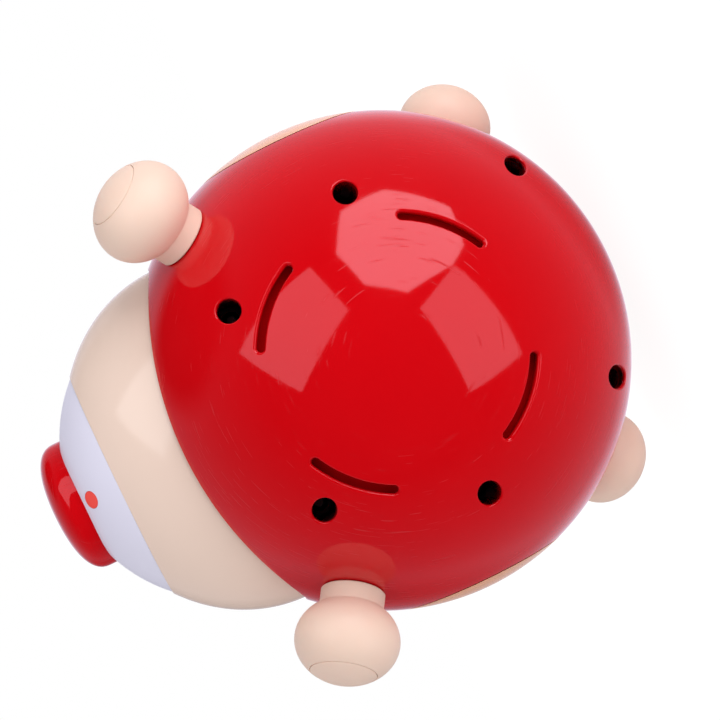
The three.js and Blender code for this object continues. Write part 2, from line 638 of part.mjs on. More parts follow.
// Screws, each placed with the underside of its head a seat gap off what it holds
function addScrew(name, length, position, turnAboutX) {
  const piece = mesh(name, screw(length), 'steel');
  piece.position.set(...position);
  piece.rotation.x = turnAboutX;
  toy.add(piece);
}
screwPlaces.forEach(([x, z], i) => {
  addScrew(`shell_screw_${i + 1}`, SHELL_SCREW_LENGTH, [x, RECESS_SEAT + SEAT_GAP, z], 0);
});
corners(DECK_SCREW_PLACE).forEach(([x, y], i) => {
  addScrew(`plate_screw_${i + 1}`, DECK_SCREW_LENGTH, [x, y, DECK_TOP + SEAT_GAP], Math.PI / 2);
});
headScrewPlaces.forEach(([x, y], i) => {
  addScrew(`head_screw_${i + 1}`, HEAD_SCREW_LENGTH, [x, y, DECK_UNDERSIDE - SEAT_GAP], -Math.PI / 2);
});
addScrew('ballast_screw', BALLAST_SCREW_LENGTH, [0, 0, CHIME_BASE_TOP + SEAT_GAP], Math.PI / 2);

// Limbs, each in a group turned to its own direction
limbs.forEach(({ name, turn }) => {
  const limb = new THREE.Group();
  limb.quaternion.copy(turn);
  limb.add(mesh(name, limbBall(), 'peach'));
  limb.add(mesh(`${name}_tip`, limbTip(), 'peach'));
  limb.add(mesh(`${name}_retainer`, retainer(), 'greyPlastic'));
  toy.add(limb);
});

export default toy;
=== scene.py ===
import json
from collections import namedtuple
from math import acos, cos, degrees, pi, radians, sin, sqrt, tan

import bmesh
import bpy
from bpy.props import FloatProperty, FloatVectorProperty, PointerProperty
from mathutils import Matrix, Vector


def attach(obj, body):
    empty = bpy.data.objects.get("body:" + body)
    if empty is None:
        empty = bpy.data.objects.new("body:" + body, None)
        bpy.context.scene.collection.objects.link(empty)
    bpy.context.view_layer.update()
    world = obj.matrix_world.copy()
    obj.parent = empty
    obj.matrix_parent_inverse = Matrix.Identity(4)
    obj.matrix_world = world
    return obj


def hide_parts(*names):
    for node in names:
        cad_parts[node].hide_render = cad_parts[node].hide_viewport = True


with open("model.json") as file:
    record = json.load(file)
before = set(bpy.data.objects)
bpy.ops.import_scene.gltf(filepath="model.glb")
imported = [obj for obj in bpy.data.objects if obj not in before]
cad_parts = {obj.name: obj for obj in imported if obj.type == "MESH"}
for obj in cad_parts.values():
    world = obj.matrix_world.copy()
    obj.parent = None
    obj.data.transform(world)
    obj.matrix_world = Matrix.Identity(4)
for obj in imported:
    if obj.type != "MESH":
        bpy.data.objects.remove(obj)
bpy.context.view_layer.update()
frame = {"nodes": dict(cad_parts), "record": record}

bl_info = {
    "name": "Tumbler toy",
    "version": (1, 0, 0),
    "blender": (4, 5, 0),
    "location": "View3D > Sidebar > Tumbler toy",
    "description": "Dresses the tumbler toy's solids: shells, head, cap, limbs, finishes and a white stage",
    "category": "Object",
}

MM = 0.001
UP = Vector((0, 0, 1))

# Places and sizes of the solids that the pieces follow, from the middle of the ball, in metres and degrees
FAR = 140 * MM
SEAT_GAP = 0.3 * MM
# Body
BASE_FLAT_RADIUS = 6 * MM
SCREW_PLACES = ((27.9, 33.1), (42.3, -6.5), (31.2, -52.5))
SCREW_HOLE_RADIUS = 1.7 * MM
SCREW_HOLE_DEPTH = 13 * MM
RECESS_SEAT = 3 * MM
RECESS_TUBE_WALL = 1.8 * MM
FRONT_POST_RADIUS = 4.4 * MM
SLOT_RING_RADIUS = 34.4 * MM
SLOT_RING_DROP = 0.56 * MM
SLOT_DEPTH = 5.2 * MM
SLOT_TROUGH_WALL = 1.2 * MM
SLOT_HALF_ANGLE = 17.7
SLOT_ANGLES = (45, 135, 225, 315)
NECK_GAP = 0.4 * MM
NECK_SEARCH = (25, 85)
DECK_UNDERSIDE = 39.2 * MM
SIDE_CAP_EDGE_RADIUS = 24.8 * MM
SIDE_CAP_EDGE_LIFT = 0.25
SIDE_CAP_PLUG_RADIUS = 17.2 * MM
SIDE_CAP_PLUG_LENGTH = 3 * MM
# Limbs: the body that each rides on and the way it points
LIMBS = {
    "arm_left": ("left_arm", (0.748, 0.427, 0.508)),
    "arm_right": ("right_arm", (-0.748, 0.427, 0.508)),
    "foot_left": ("left_foot", (0.663, -0.442, -0.604)),
    "foot_right": ("right_foot", (-0.663, -0.442, -0.604)),
}
LIMB_REACH = 83.5 * MM
LIMB_BALL_RADIUS = 14 * MM
LIMB_BALL_HALF_LENGTH = 11.6 * MM
LIMB_STUB_RADIUS = 5.8 * MM
LIMB_STUB_TAIL = 3 * MM
LIMB_COLLAR_RADIUS = 8.6 * MM
COLLAR_EDGE = 0.3 * MM
COLLAR_FILLET_WIDTH = 0.5 * MM
COLLAR_FILLET_HEIGHT = 0.7 * MM
COLLAR_FILLET_MIDDLE = (0.13 * MM, 0.3 * MM)
LIMB_TIP_RADIUS = 8.8 * MM
LIMB_TIP_DEPTH = 1.5 * MM
TIP_GAP = SEAT_GAP / 10
TIP_LINE_WIDTH = 0.2 * MM
TIP_LINE_DEPTH = 0.25 * MM
RETAINER_RADIUS = 9 * MM
RETAINER_THICKNESS = 1.6 * MM
RETAINER_GROOVE_DEPTH = 1 * MM
RETAINER_ROOM = 3 * MM
# Head, cap and the printed face; an eye or cheek is its place across and up, half width and half height,
# and the mouth lies between two arcs, each given by the height of its middle and its radius
HEAD_BAND = 5.3 * MM
HEAD_BOTTOM = 42.5 * MM
HAT_TILT = 1.5
HAT_EDGE_HEIGHT = 33.4 * MM
HAT_EDGE_GAP = 0.01 * MM
KNOB_TOP = 53.8 * MM
KNOB_DOME = 8 * MM
KNOB_FULLNESS = 2.5
KNOB_FLATNESS = 0.88
STUD_HEIGHT = 39 * MM
STUD_DEPTH = 4 * MM
STUD_GAP = SEAT_GAP / 3
PRINT_LIFT = 0.06 * MM
PRINT_DEPTH = 0.3 * MM
EYE = (13 * MM, 74 * MM, 2.3 * MM, 3.2 * MM)
CHEEK = (22 * MM, 67 * MM, 4.4 * MM, 3.4 * MM)
MOUTH_LOWER_ARC = (72.5 * MM, 7 * MM)
MOUTH_UPPER_ARC = (72.8 * MM, 6.2 * MM)
MOUTH_ENDS = (210, 330)

# A ball flattened front to back behind a straight band: half width, half height, depth of each crown
# and the height of its middle
FlatBall = namedtuple("FlatBall", "half_width half_height crown height")
HEAD = FlatBall(49.9 * MM, 44.7 * MM, 31.5 * MM, 46.65 * MM)
HAT = FlatBall(45 * MM, 45 * MM, 29 * MM, 49.07 * MM)

# How finely the shapes are divided
BALL_STEPS = 192
BALL_ARC_STEPS = 48
SMALL_STEPS = 64
RIM_STEPS = 96
SLOT_SIDE_STEPS = 24
SLOT_END_STEPS = 12
CAP_ARC_STEPS = 24
KNOB_ARC_STEPS = 32
LIMB_ARC_STEPS = 36
MOUTH_STEPS = 24
CROSSING_HALVINGS = 50

# Where a corner counts as lying on the moulded surface, and from which angle an edge is drawn sharp
BALL_TOLERANCE = 0.025 * MM
FLAT_TOLERANCE = 0.0015
FACING_SHARE = 0.9
SHARP_ANGLE = 32


def linear(colour):
    """Linear red, green and blue of an sRGB hex colour."""
    values = []
    for shift in (16, 8, 0):
        part = ((colour >> shift) & 255) / 255
        values.append(part / 12.92 if part <= 0.04045 else ((part + 0.055) / 1.055) ** 2.4)
    return tuple(values)


class TumblerSizes(bpy.types.PropertyGroup):
    """Sizes of the toy's visible pieces."""

    body_radius: FloatProperty(
        name="Body radius", description="Radius of the ball body", default=70 * MM, unit="LENGTH")
    shell_wall: FloatProperty(
        name="Shell wall", description="Wall of the two body halves", default=2.6 * MM, unit="LENGTH")
    recess_radius: FloatProperty(
        name="Recess radius", description="Radius of the screw recesses", default=3.2 * MM, unit="LENGTH")
    slot_width: FloatProperty(
        name="Slot width", description="Width of the sound slots", default=2.1 * MM, unit="LENGTH")
    slot_rounding: FloatProperty(
        name="Slot rounding", description="Rounding of the edges of the sound slots",
        default=0.75 * MM, unit="LENGTH")
    rim_rounding: FloatProperty(
        name="Rim rounding", description="Rounding of the edges of the recesses and the neck",
        default=0.45 * MM, unit="LENGTH")
    head_wall: FloatProperty(
        name="Head wall", description="Wall of the head and its cap", default=2.4 * MM, unit="LENGTH")
    knob_radius: FloatProperty(
        name="Knob radius", description="Radius of the knob on the cap", default=18.6 * MM, unit="LENGTH")
    stud_radius: FloatProperty(
        name="Stud radius", description="Radius of the stud on the cap", default=2.45 * MM, unit="LENGTH")
    seam_chamfer: FloatProperty(
        name="Seam chamfer", description="Broken edge where two mouldings meet",
        default=0.25 * MM, unit="LENGTH")
    hat_edge_rounding: FloatProperty(
        name="Cap edge rounding", description="Fine rounding where the cap meets the head",
        default=0.06 * MM, unit="LENGTH")


class TumblerColours(bpy.types.PropertyGroup):
    """Colours of the toy's mouldings and prints."""

    red: FloatVectorProperty(
        name="Red", description="Ball body and knob",
        default=linear(0xC8060F), subtype="COLOR", min=0, max=1)
    cream: FloatVectorProperty(
        name="Cream", description="Head", default=linear(0xE9D0C2), subtype="COLOR", min=0, max=1)
    peach: FloatVectorProperty(
        name="Peach", description="Limbs", default=linear(0xEDCFBE), subtype="COLOR", min=0, max=1)
    # Cap: white plastic, with painted shade in its lilac-grey cast
    white_with_painted_shade: FloatVectorProperty(
        name="White with painted shade", description="Cap", default=linear(0xDFDCEF), subtype="COLOR", min=0, max=1)
    ochre: FloatVectorProperty(
        name="Ochre", description="Side caps", default=linear(0xEFAF88), subtype="COLOR", min=0, max=1)
    orange_red: FloatVectorProperty(
        name="Orange red", description="Stud", default=linear(0xFB4A3E), subtype="COLOR", min=0, max=1)
    print_dark: FloatVectorProperty(
        name="Dark print", description="Eyes", default=linear(0x3A2620), subtype="COLOR", min=0, max=1)
    print_red: FloatVectorProperty(
        name="Red print", description="Mouth", default=linear(0xC23A3A), subtype="COLOR", min=0, max=1)
    print_pink: FloatVectorProperty(
        name="Pink print", description="Cheeks", default=linear(0xEFA79B), subtype="COLOR", min=0, max=1)


def add_node(tree, kind, inputs=None, **settings):
    """Node of a kind with its settings; each input is a value or another node's output."""
    node = tree.nodes.new(kind)
    for key, value in settings.items():
        setattr(node, key, value)
    for socket, source in (inputs or {}).items():
        if isinstance(source, bpy.types.NodeSocket):
            tree.links.new(source, node.inputs[socket])
        else:
            node.inputs[socket].default_value = source
    return node


def new_material(name):
    """Empty material and its node tree."""
    made = bpy.data.materials.new(name)
    made.use_nodes = True
    made.node_tree.nodes.clear()
    return made, made.node_tree


def per_metre(millimetres):
    """Texture scale at which one feature of the pattern is about this long."""
    return 1 / (millimetres * MM)


def scratches(tree, place, turn, seed):
    """Hairlines that run one way, and only in patches: noise drawn out along one direction."""
    drawn = add_node(tree, "ShaderNodeMapping", {
        "Vector": place, "Rotation": turn, "Scale": (1, per_metre(0.25) / per_metre(9), 1)})
    lines = add_node(tree, "ShaderNodeTexNoise", {
        "Vector": drawn.outputs[0], "W": seed, "Scale": per_metre(9), "Detail": 1.0},
        noise_dimensions="4D")
    thin = add_node(tree, "ShaderNodeMapRange", {
        "Value": lines.outputs[0], "From Min": 0.66, "From Max": 0.7})
    patches = add_node(tree, "ShaderNodeTexNoise", {
        "Vector": place, "W": seed + 5, "Scale": per_metre(34)}, noise_dimensions="4D")
    here = add_node(tree, "ShaderNodeMapRange", {
        "Value": patches.outputs[0], "From Min": 0.44, "From Max": 0.58})
    both = {0: thin.outputs[0], 1: here.outputs[0]}
    return add_node(tree, "ShaderNodeMath", both, operation="MULTIPLY").outputs[0]


def moulded_abs(name, colour, roughness, shade=0.05, wear=0.35, glint=(1, 1, 1, 1)):
    """ABS from a polished mould: a clean mirror gloss over an even colour, a trace of orange peel
    from the cooling, and hairline scratches from handling that show where a light is mirrored."""
    made, tree = new_material(name)
    place = add_node(tree, "ShaderNodeTexCoord").outputs["Object"]
    cloud = add_node(tree, "ShaderNodeTexNoise", {
        "Vector": place, "Scale": per_metre(26), "Detail": 3.0}).outputs[0]
    deep = [part * (1 - shade) for part in colour]
    light = [min(1, part * (1 + shade)) for part in colour]
    tint = add_node(tree, "ShaderNodeMix", {0: cloud, 6: (*deep, 1), 7: (*light, 1)}, data_type="RGBA")
    first = scratches(tree, place, (0.4, 0.3, 0.9), 1.0)
    second = scratches(tree, place, (1.1, 0.2, -0.5), 3.0)
    worn = add_node(tree, "ShaderNodeMath", {0: first, 1: second}, operation="MAXIMUM").outputs[0]
    dulled = add_node(tree, "ShaderNodeMapRange", {
        "Value": cloud, "From Min": 0.3, "From Max": 0.75,
        "To Min": roughness, "To Max": roughness + 0.04})
    rough = add_node(tree, "ShaderNodeMath", {
        0: worn, 1: wear, 2: dulled.outputs[0]}, operation="MULTIPLY_ADD", use_clamp=True)
    peel = add_node(tree, "ShaderNodeTexNoise", {
        "Vector": place, "Scale": per_metre(3.5), "Detail": 1.0}).outputs[0]
    height = add_node(tree, "ShaderNodeMath", {
        0: worn, 1: -1.0, 2: peel}, operation="MULTIPLY_ADD").outputs[0]
    relief = add_node(tree, "ShaderNodeBump", {"Height": height, "Strength": 0.25, "Distance": 0.01 * MM})
    shader = add_node(tree, "ShaderNodeBsdfPrincipled", {
        "Base Color": tint.outputs[2], "Roughness": rough.outputs[0], "IOR": 1.53,
        "Specular Tint": glint, "Normal": relief.outputs[0]})
    add_node(tree, "ShaderNodeOutputMaterial", {"Surface": shader.outputs[0]})
    return made


def moulded_vinyl(name, colour):
    """Rotation-moulded soft vinyl: a satin skin with a fine eggshell grain, slightly see-through at
    the edges, with faint darker handling marks."""
    made, tree = new_material(name)
    place = add_node(tree, "ShaderNodeTexCoord").outputs["Object"]
    mottle = add_node(tree, "ShaderNodeTexNoise", {
        "Vector": place, "Scale": per_metre(9), "Detail": 4.0}).outputs[0]
    deep = [part * 0.94 for part in colour]
    tint = add_node(tree, "ShaderNodeMix", {0: mottle, 6: (*deep, 1), 7: (*colour, 1)}, data_type="RGBA")
    rough = add_node(tree, "ShaderNodeMapRange", {
        "Value": mottle, "From Min": 0.3, "From Max": 0.7, "To Min": 0.4, "To Max": 0.52})
    # Real grain is about 0.1 mm and would not show, so it is drawn at 0.4 mm
    grain = add_node(tree, "ShaderNodeTexNoise", {
        "Vector": place, "Scale": per_metre(0.4), "Detail": 2.0}).outputs[0]
    relief = add_node(tree, "ShaderNodeBump", {"Height": grain, "Strength": 0.2, "Distance": 0.03 * MM})
    shader = add_node(tree, "ShaderNodeBsdfPrincipled", {
        "Base Color": tint.outputs[2], "Roughness": rough.outputs[0], "IOR": 1.5,
        "Subsurface Weight": 0.12, "Subsurface Radius": (1.0, 0.5, 0.35), "Subsurface Scale": 1.2 * MM,
        "Normal": relief.outputs[0]})
    add_node(tree, "ShaderNodeOutputMaterial", {"Surface": shader.outputs[0]})
    return made


def metal(name, colour, roughness, grain_mm, relief_mm, metallic=1.0):
    """Metal whose surface breaks the light up by its grain: fine spangle on zinc plate, coarse
    pitting on iron as it comes from the sand."""
    made, tree = new_material(name)
    place = add_node(tree, "ShaderNodeTexCoord").outputs["Object"]
    grain = add_node(tree, "ShaderNodeTexNoise", {
        "Vector": place, "Scale": per_metre(grain_mm), "Detail": 4.0}).outputs[0]
    deep = [part * 0.8 for part in colour]
    tint = add_node(tree, "ShaderNodeMix", {0: grain, 6: (*deep, 1), 7: (*colour, 1)}, data_type="RGBA")
    rough = add_node(tree, "ShaderNodeMapRange", {
        "Value": grain, "From Min": 0.3, "From Max": 0.7,
        "To Min": roughness, "To Max": roughness + 0.15})
    relief = add_node(tree, "ShaderNodeBump", {
        "Height": grain, "Strength": 0.4, "Distance": relief_mm * MM})
    shader = add_node(tree, "ShaderNodeBsdfPrincipled", {
        "Base Color": tint.outputs[2], "Roughness": rough.outputs[0], "Metallic": metallic,
        "Normal": relief.outputs[0]})
    add_node(tree, "ShaderNodeOutputMaterial", {"Surface": shader.outputs[0]})
    return made


def material(name):
    """One of the toy's finishes, made the first time it is asked for."""
    found = bpy.data.materials.get(name)
    if found:
        return found
    colours = bpy.context.scene.tumbler_colours
    makers = {
        "red_abs_polished": lambda: moulded_abs(name, colours.red, 0.05, glint=(*linear(0xFFCEDC), 1)),
        "cream_abs_polished": lambda: moulded_abs(name, colours.cream, 0.1, 0.02, 0.08),
        # The cap's lilac-grey cast is painted shade over white plastic
        "white_abs_satin_painted_shade": lambda: moulded_abs(name, colours.white_with_painted_shade, 0.32, 0.015, 0.0),
        "ochre_abs_polished": lambda: moulded_abs(name, colours.ochre, 0.18, 0.04),
        "orange_red_abs_satin": lambda: moulded_abs(name, colours.orange_red, 0.35, 0.03),
        "peach_vinyl_satin": lambda: moulded_vinyl(name, colours.peach),
        "grey_nylon_moulded": lambda: moulded_abs(name, linear(0x8D9096), 0.45, 0.06),
        "steel_zinc_plated": lambda: metal(name, linear(0xC4C7CC), 0.25, 1.2, 0.01),
        "iron_as_cast": lambda: metal(name, linear(0x5A5B5E), 0.55, 2.2, 0.2),
        "dark_pad_print": lambda: moulded_abs(name, colours.print_dark, 0.25),
        "red_pad_print": lambda: moulded_abs(name, colours.print_red, 0.25),
        "pink_pad_print": lambda: moulded_abs(name, colours.print_pink, 0.3),
    }
    return makers[name]()


def ball_middle():
    """Middle of the ball body, above the surface the toy stands on."""
    sizes = bpy.context.scene.tumbler_sizes
    return Vector((0, 0, sqrt(sizes.body_radius ** 2 - BASE_FLAT_RADIUS ** 2)))


def turned(profile, steps, closed=False):
    """Vertices and faces of a shape turned about z from (radius, height) points."""
    vertices = []
    rows = []
    for radius, height in profile:
        count = 1 if radius < 1e-7 else steps
        rows.append(range(len(vertices), len(vertices) + count))
        for step in range(count):
            angle = 2 * pi * step / steps
            vertices.append(Vector((radius * cos(angle), radius * sin(angle), height)))
    pairs = list(zip(rows, rows[1:]))
    if closed:
        pairs.append((rows[-1], rows[0]))
    faces = []
    for lower, upper in pairs:
        if len(lower) == len(upper) == 1:
            continue
        for step in range(steps):
            after = (step + 1) % steps
            if len(lower) == 1:
                faces.append((lower[0], upper[after], upper[step]))
            elif len(upper) == 1:
                faces.append((lower[step], lower[after], upper[0]))
            else:
                faces.append((lower[step], lower[after], upper[after], upper[step]))
    return vertices, faces


def moved(shape, turn):
    """A shape's vertices moved by a matrix."""
    vertices, faces = shape
    return [turn @ point for point in vertices], faces


def together(shapes):
    """Several shapes that do not touch, as one."""
    vertices = []
    faces = []
    for points, sides in shapes:
        first = len(vertices)
        vertices.extend(points)
        faces.extend(tuple(first + corner for corner in side) for side in sides)
    return vertices, faces


def block(low, high):
    """Box between two corners."""
    (x0, y0, z0), (x1, y1, z1) = low, high
    vertices = [Vector(p) for p in (
        (x0, y0, z0), (x1, y0, z0), (x1, y1, z0), (x0, y1, z0),
        (x0, y0, z1), (x1, y0, z1), (x1, y1, z1), (x0, y1, z1))]
    faces = [(0, 3, 2, 1), (4, 5, 6, 7), (0, 1, 5, 4), (1, 2, 6, 5), (2, 3, 7, 6), (3, 0, 4, 7)]
    return vertices, faces


def bar(radius, low, high):
    """Round bar along z between two heights."""
    return turned([(0, low), (radius, low), (radius, high), (0, high)], SMALL_STEPS)


def below(height):
    """Block of everything below a height."""
    return block((-FAR, -FAR, -FAR), (FAR, FAR, height))


def make_piece(name, shape):
    """Object with the shape, given from the middle of the ball, all faces looking out."""
    middle = ball_middle()
    vertices, faces = shape
    mesh = bpy.data.meshes.new(name)
    mesh.from_pydata([point + middle for point in vertices], [], faces)
    form = bmesh.new()
    form.from_mesh(mesh)
    bmesh.ops.recalc_face_normals(form, faces=form.faces)
    form.to_mesh(mesh)
    form.free()
    piece = bpy.data.objects.new(name, mesh)
    bpy.context.scene.collection.objects.link(piece)
    return piece


def combine(piece, shape, operation):
    """Adds a closed shape to the piece, cuts it away or keeps what both share."""
    tool = make_piece("tool", shape)
    modifier = piece.modifiers.new("combine", "BOOLEAN")
    modifier.object = tool
    modifier.operation = operation
    modifier.solver = "MANIFOLD"
    graph = bpy.context.evaluated_depsgraph_get()
    result = bpy.data.meshes.new_from_object(piece.evaluated_get(graph))
    before = piece.data
    piece.modifiers.clear()
    piece.data = result
    result.name = piece.name
    bpy.data.meshes.remove(before)
    tool_mesh = tool.data
    bpy.data.objects.remove(tool)
    bpy.data.meshes.remove(tool_mesh)
    if not result.polygons:
        raise RuntimeError(f"{piece.name} lost its whole shape in {operation}")


def taken(piece):
    """Shape of a piece that was made only to shape another one; the piece itself goes."""
    middle = ball_middle()
    mesh = piece.data
    vertices = [vertex.co - middle for vertex in mesh.vertices]
    faces = [tuple(face.vertices) for face in mesh.polygons]
    bpy.data.objects.remove(piece)
    bpy.data.meshes.remove(mesh)
    return vertices, faces


def edge_tool(rim, radius, steps=5):
    """Ring that rounds a sharp rim, given as points with the normals of the two faces that meet."""
    spare = radius / 2
    rows = []
    vertices = []
    for point, first, second in rim:
        lean = first.dot(second)
        along_first = (lean * first - second).normalized()
        along_second = (lean * second - first).normalized()
        reach = radius / tan(along_first.angle(along_second) / 2)
        centre = point + along_first * reach - first * radius
        ring = [centre + first.slerp(second, step / steps) * radius for step in range(steps + 1)]
        ring.append(point + along_second * reach + second * spare)
        ring.append(point + (first + second).normalized() * spare * 2)
        ring.append(point + along_first * reach + first * spare)
        rows.append(range(len(vertices), len(vertices) + len(ring)))
        vertices.extend(ring)
    faces = []
    for row, following in zip(rows, rows[1:] + rows[:1]):
        for corner in range(len(row)):
            after = (corner + 1) % len(row)
            faces.append((row[corner], row[after], following[after], following[corner]))
    return vertices, faces


def finish_piece(piece, body, finish, nodes, exact_normal=None):
    """Smooth shading, true normals on the moulded surface, the finish, and what the piece stands for."""
    mesh = piece.data
    mesh.shade_smooth()
    mesh.set_sharp_from_angle(angle=radians(SHARP_ANGLE))
    if exact_normal:
        middle = ball_middle()
        normals = [Vector(corner.vector) for corner in mesh.corner_normals]
        for face in mesh.polygons:
            exact = [exact_normal(mesh.vertices[corner].co - middle) for corner in face.vertices]
            if all(normal and normal.dot(face.normal) > FACING_SHARE for normal in exact):
                for corner, normal in zip(face.loop_indices, exact):
                    normals[corner] = normal
        mesh.normals_split_custom_set(normals)
    mesh.materials.clear()
    mesh.materials.append(material(finish))
    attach(piece, body)
    if nodes:
        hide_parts(*nodes)
    return piece


def on_ball(*radii):
    """Function that gives the ball's normal at points at these distances, and nothing elsewhere."""
    def normal(point):
        on_it = any(abs(point.length - radius) < BALL_TOLERANCE for radius in radii)
        return point.normalized() if on_it else None
    return normal


def flat_value(form, point, growth=0.0):
    """Below zero inside a flattened ball, above it outside."""
    depth = max(abs(point.y) - HEAD_BAND, 0) / (form.crown + growth)
    across = point.x / (form.half_width + growth)
    rise = (point.z - form.height) / (form.half_height + growth)
    return across ** 2 + rise ** 2 + depth ** 2 - 1


def flat_normal(form, point, growth=0.0):
    """Direction straight out of a flattened ball at a point on its surface."""
    depth = max(abs(point.y) - HEAD_BAND, 0) / (form.crown + growth) ** 2
    if point.y < 0:
        depth = -depth
    across = point.x / (form.half_width + growth) ** 2
    rise = (point.z - form.height) / (form.half_height + growth) ** 2
    return Vector((across, depth, rise)).normalized()


def on_flat(form):
    """Function that gives a flattened ball's normal at points on its surface, and nothing elsewhere."""
    def normal(point):
        on_it = abs(flat_value(form, point)) < FLAT_TOLERANCE
        return flat_normal(form, point) if on_it else None
    return normal


def crossing(form, path, low, high, growth=0.0):
    """Point where a path leaves or enters a flattened ball, between two values of its parameter."""
    starts_inside = flat_value(form, path(low), growth) < 0
    for _ in range(CROSSING_HALVINGS):
        middle = (low + high) / 2
        if (flat_value(form, path(middle), growth) < 0) == starts_inside:
            low = middle
        else:
            high = middle
    return path((low + high) / 2)


def arc(radius, half_length, middle, start, end, steps):
    """Points of an ellipse arc as (radius, height), between two angles in degrees from its equator."""
    points = []
    for step in range(steps + 1):
        angle = radians(start + (end - start) * step / steps)
        points.append((max(radius * cos(angle), 0), middle + half_length * sin(angle)))
    return points


def turned_to(direction):
    """Turns the z axis to a direction."""
    return UP.rotation_difference(Vector(direction).normalized()).to_matrix().to_4x4()


TO_Y = Matrix.Rotation(-pi / 2, 4, "X")


def to_side(side):
    """Leaves a shape at the rear (1) or mirrors it to the front (-1)."""
    return Matrix.Scale(side, 4, (0, 1, 0))


def around_y(angle):
    """Direction in the x-z plane."""
    return Vector((cos(angle), 0, sin(angle)))


def half_ball(radius, wall, chamfer):
    """Rear half of the body's wall, with the broken edge at the seam, turned about y."""
    start = degrees(chamfer / radius)
    outer = arc(radius, radius, 0, start, 90, BALL_ARC_STEPS)
    inner = arc(radius - wall, radius - wall, 0, 90, 0, BALL_ARC_STEPS // 2)
    return moved(turned([*outer, *inner, (radius - chamfer, 0)], BALL_STEPS, closed=True), TO_Y)


def screw_places():
    """Places of the six body screws, across and up from the middle of the ball."""
    return [Vector((side * x * MM, 0, z * MM)) for x, z in SCREW_PLACES for side in (1, -1)]


def recess_rim(place, sizes):
    """Rim of a screw recess on the ball."""
    rim = []
    for step in range(RIM_STEPS // 2):
        out = around_y(4 * pi * step / RIM_STEPS)
        point = place + out * sizes.recess_radius
        point.y = sqrt(sizes.body_radius ** 2 - point.length_squared)
        rim.append((point, point.normalized(), -out))
    return rim


def slot_outline(angle, width):
    """Outline of a sound slot in the x-z plane, an arc with round ends: points and outward directions."""
    half = width / 2
    start = radians(angle - SLOT_HALF_ANGLE)
    end = radians(angle + SLOT_HALF_ANGLE)
    outline = []
    for sign, first, last in ((1, start, end), (-1, end, start)):
        for step in range(SLOT_SIDE_STEPS + 1):
            out = around_y(first + (last - first) * step / SLOT_SIDE_STEPS)
            outline.append((out * (SLOT_RING_RADIUS + sign * half), out * sign))
        middle = around_y(last) * SLOT_RING_RADIUS
        for step in range(1, SLOT_END_STEPS):
            out = around_y(last + (0 if sign > 0 else pi) + pi * step / SLOT_END_STEPS)
            outline.append((middle + out * half, out))
    return [(point - UP * SLOT_RING_DROP, out) for point, out in outline]


def lifted(point, radius):
    """The place on the ball straight above a point in the x-z plane."""
    return Vector((point.x, sqrt(radius ** 2 - point.length_squared), point.z))


def slot_tool(outline, floor_radius):
    """Straight bar with a slot's outline, from a floor that follows the ball to well outside it."""
    count = len(outline)
    vertices = [lifted(point, floor_radius) for point, _ in outline]
    vertices.extend(point + Vector((0, FAR, 0)) for point, _ in outline)
    faces = []
    half = count // 2
    across = SLOT_SIDE_STEPS
    for first in (0, count):
        for corner in range(across):
            faces.append(tuple(first + k for k in (
                corner, corner + 1, half + across - corner - 1, half + across - corner)))
        faces.append(tuple(range(first + across, first + half + 1)))
        faces.append((*range(first + half + across, first + count), first))
    for corner in range(count):
        after = (corner + 1) % count
        faces.append((corner, after, count + after, count + corner))
    return vertices, faces


def slot_rim(outline, radius):
    """Rim of a slot on the ball."""
    rim = []
    for point, out in outline:
        place = lifted(point, radius)
        rim.append((place, place.normalized(), -out))
    return rim


def neck_rim(radius):
    """Rim of the body where the head sits in it: the curve that the ball and the head's room share."""
    rim = []
    for step in range(2 * RIM_STEPS):
        turn = pi * step / RIM_STEPS

        def path(rise):
            return Vector((cos(rise) * cos(turn), cos(rise) * sin(turn), sin(rise))) * radius

        point = crossing(HEAD, path, *map(radians, NECK_SEARCH), NECK_GAP)
        rim.append((point, point.normalized(), -flat_normal(HEAD, point, NECK_GAP)))
    return rim


def flat_turn(form):
    """From a shape turned about z to a flattened ball's place: its axis runs to the rear."""
    squeeze = Matrix.Scale(form.half_height / form.half_width, 4, UP)
    return Matrix.Translation((0, 0, form.height)) @ squeeze @ TO_Y


def flat_ball(form, growth):
    """A whole flattened ball grown by a gap."""
    radius = form.half_width + growth
    crown = form.crown + growth
    steps = BALL_ARC_STEPS // 2
    front = arc(radius, crown, -HEAD_BAND, -90, 0, steps)
    rear = arc(radius, crown, HEAD_BAND, 0, 90, steps)
    return moved(turned([*front, *rear], BALL_STEPS), flat_turn(form))


def side_plane(sizes):
    """Distance of the flat land under a side cap from the middle of the ball."""
    return sqrt(sizes.body_radius ** 2 - SIDE_CAP_EDGE_RADIUS ** 2)


def land_rim(side, plane, radius):
    """Rim of the flat land under a side cap, on the ball."""
    rim = []
    reach = sqrt(radius ** 2 - plane ** 2)
    for step in range(RIM_STEPS):
        turn = 2 * pi * step / RIM_STEPS
        point = Vector((side * plane, reach * cos(turn), reach * sin(turn)))
        rim.append((point, point.normalized(), Vector((side, 0, 0))))
    return rim


def limb_seat(sizes):
    """Distance of the flat inside each limb hole where its retainer sits."""
    return sqrt((sizes.body_radius - sizes.shell_wall) ** 2 - RETAINER_RADIUS ** 2)


def limb_hole(direction, sizes):
    """Stepped cutter for one limb's stub and the seat of its retainer."""
    seat = limb_seat(sizes)
    wide = RETAINER_RADIUS + SEAT_GAP
    narrow = LIMB_STUB_RADIUS + SEAT_GAP
    floor = seat - RETAINER_ROOM
    profile = [(0, floor), (wide, floor), (wide, seat), (narrow, seat), (narrow, FAR), (0, FAR)]
    return moved(turned(profile, SMALL_STEPS), turned_to(direction))


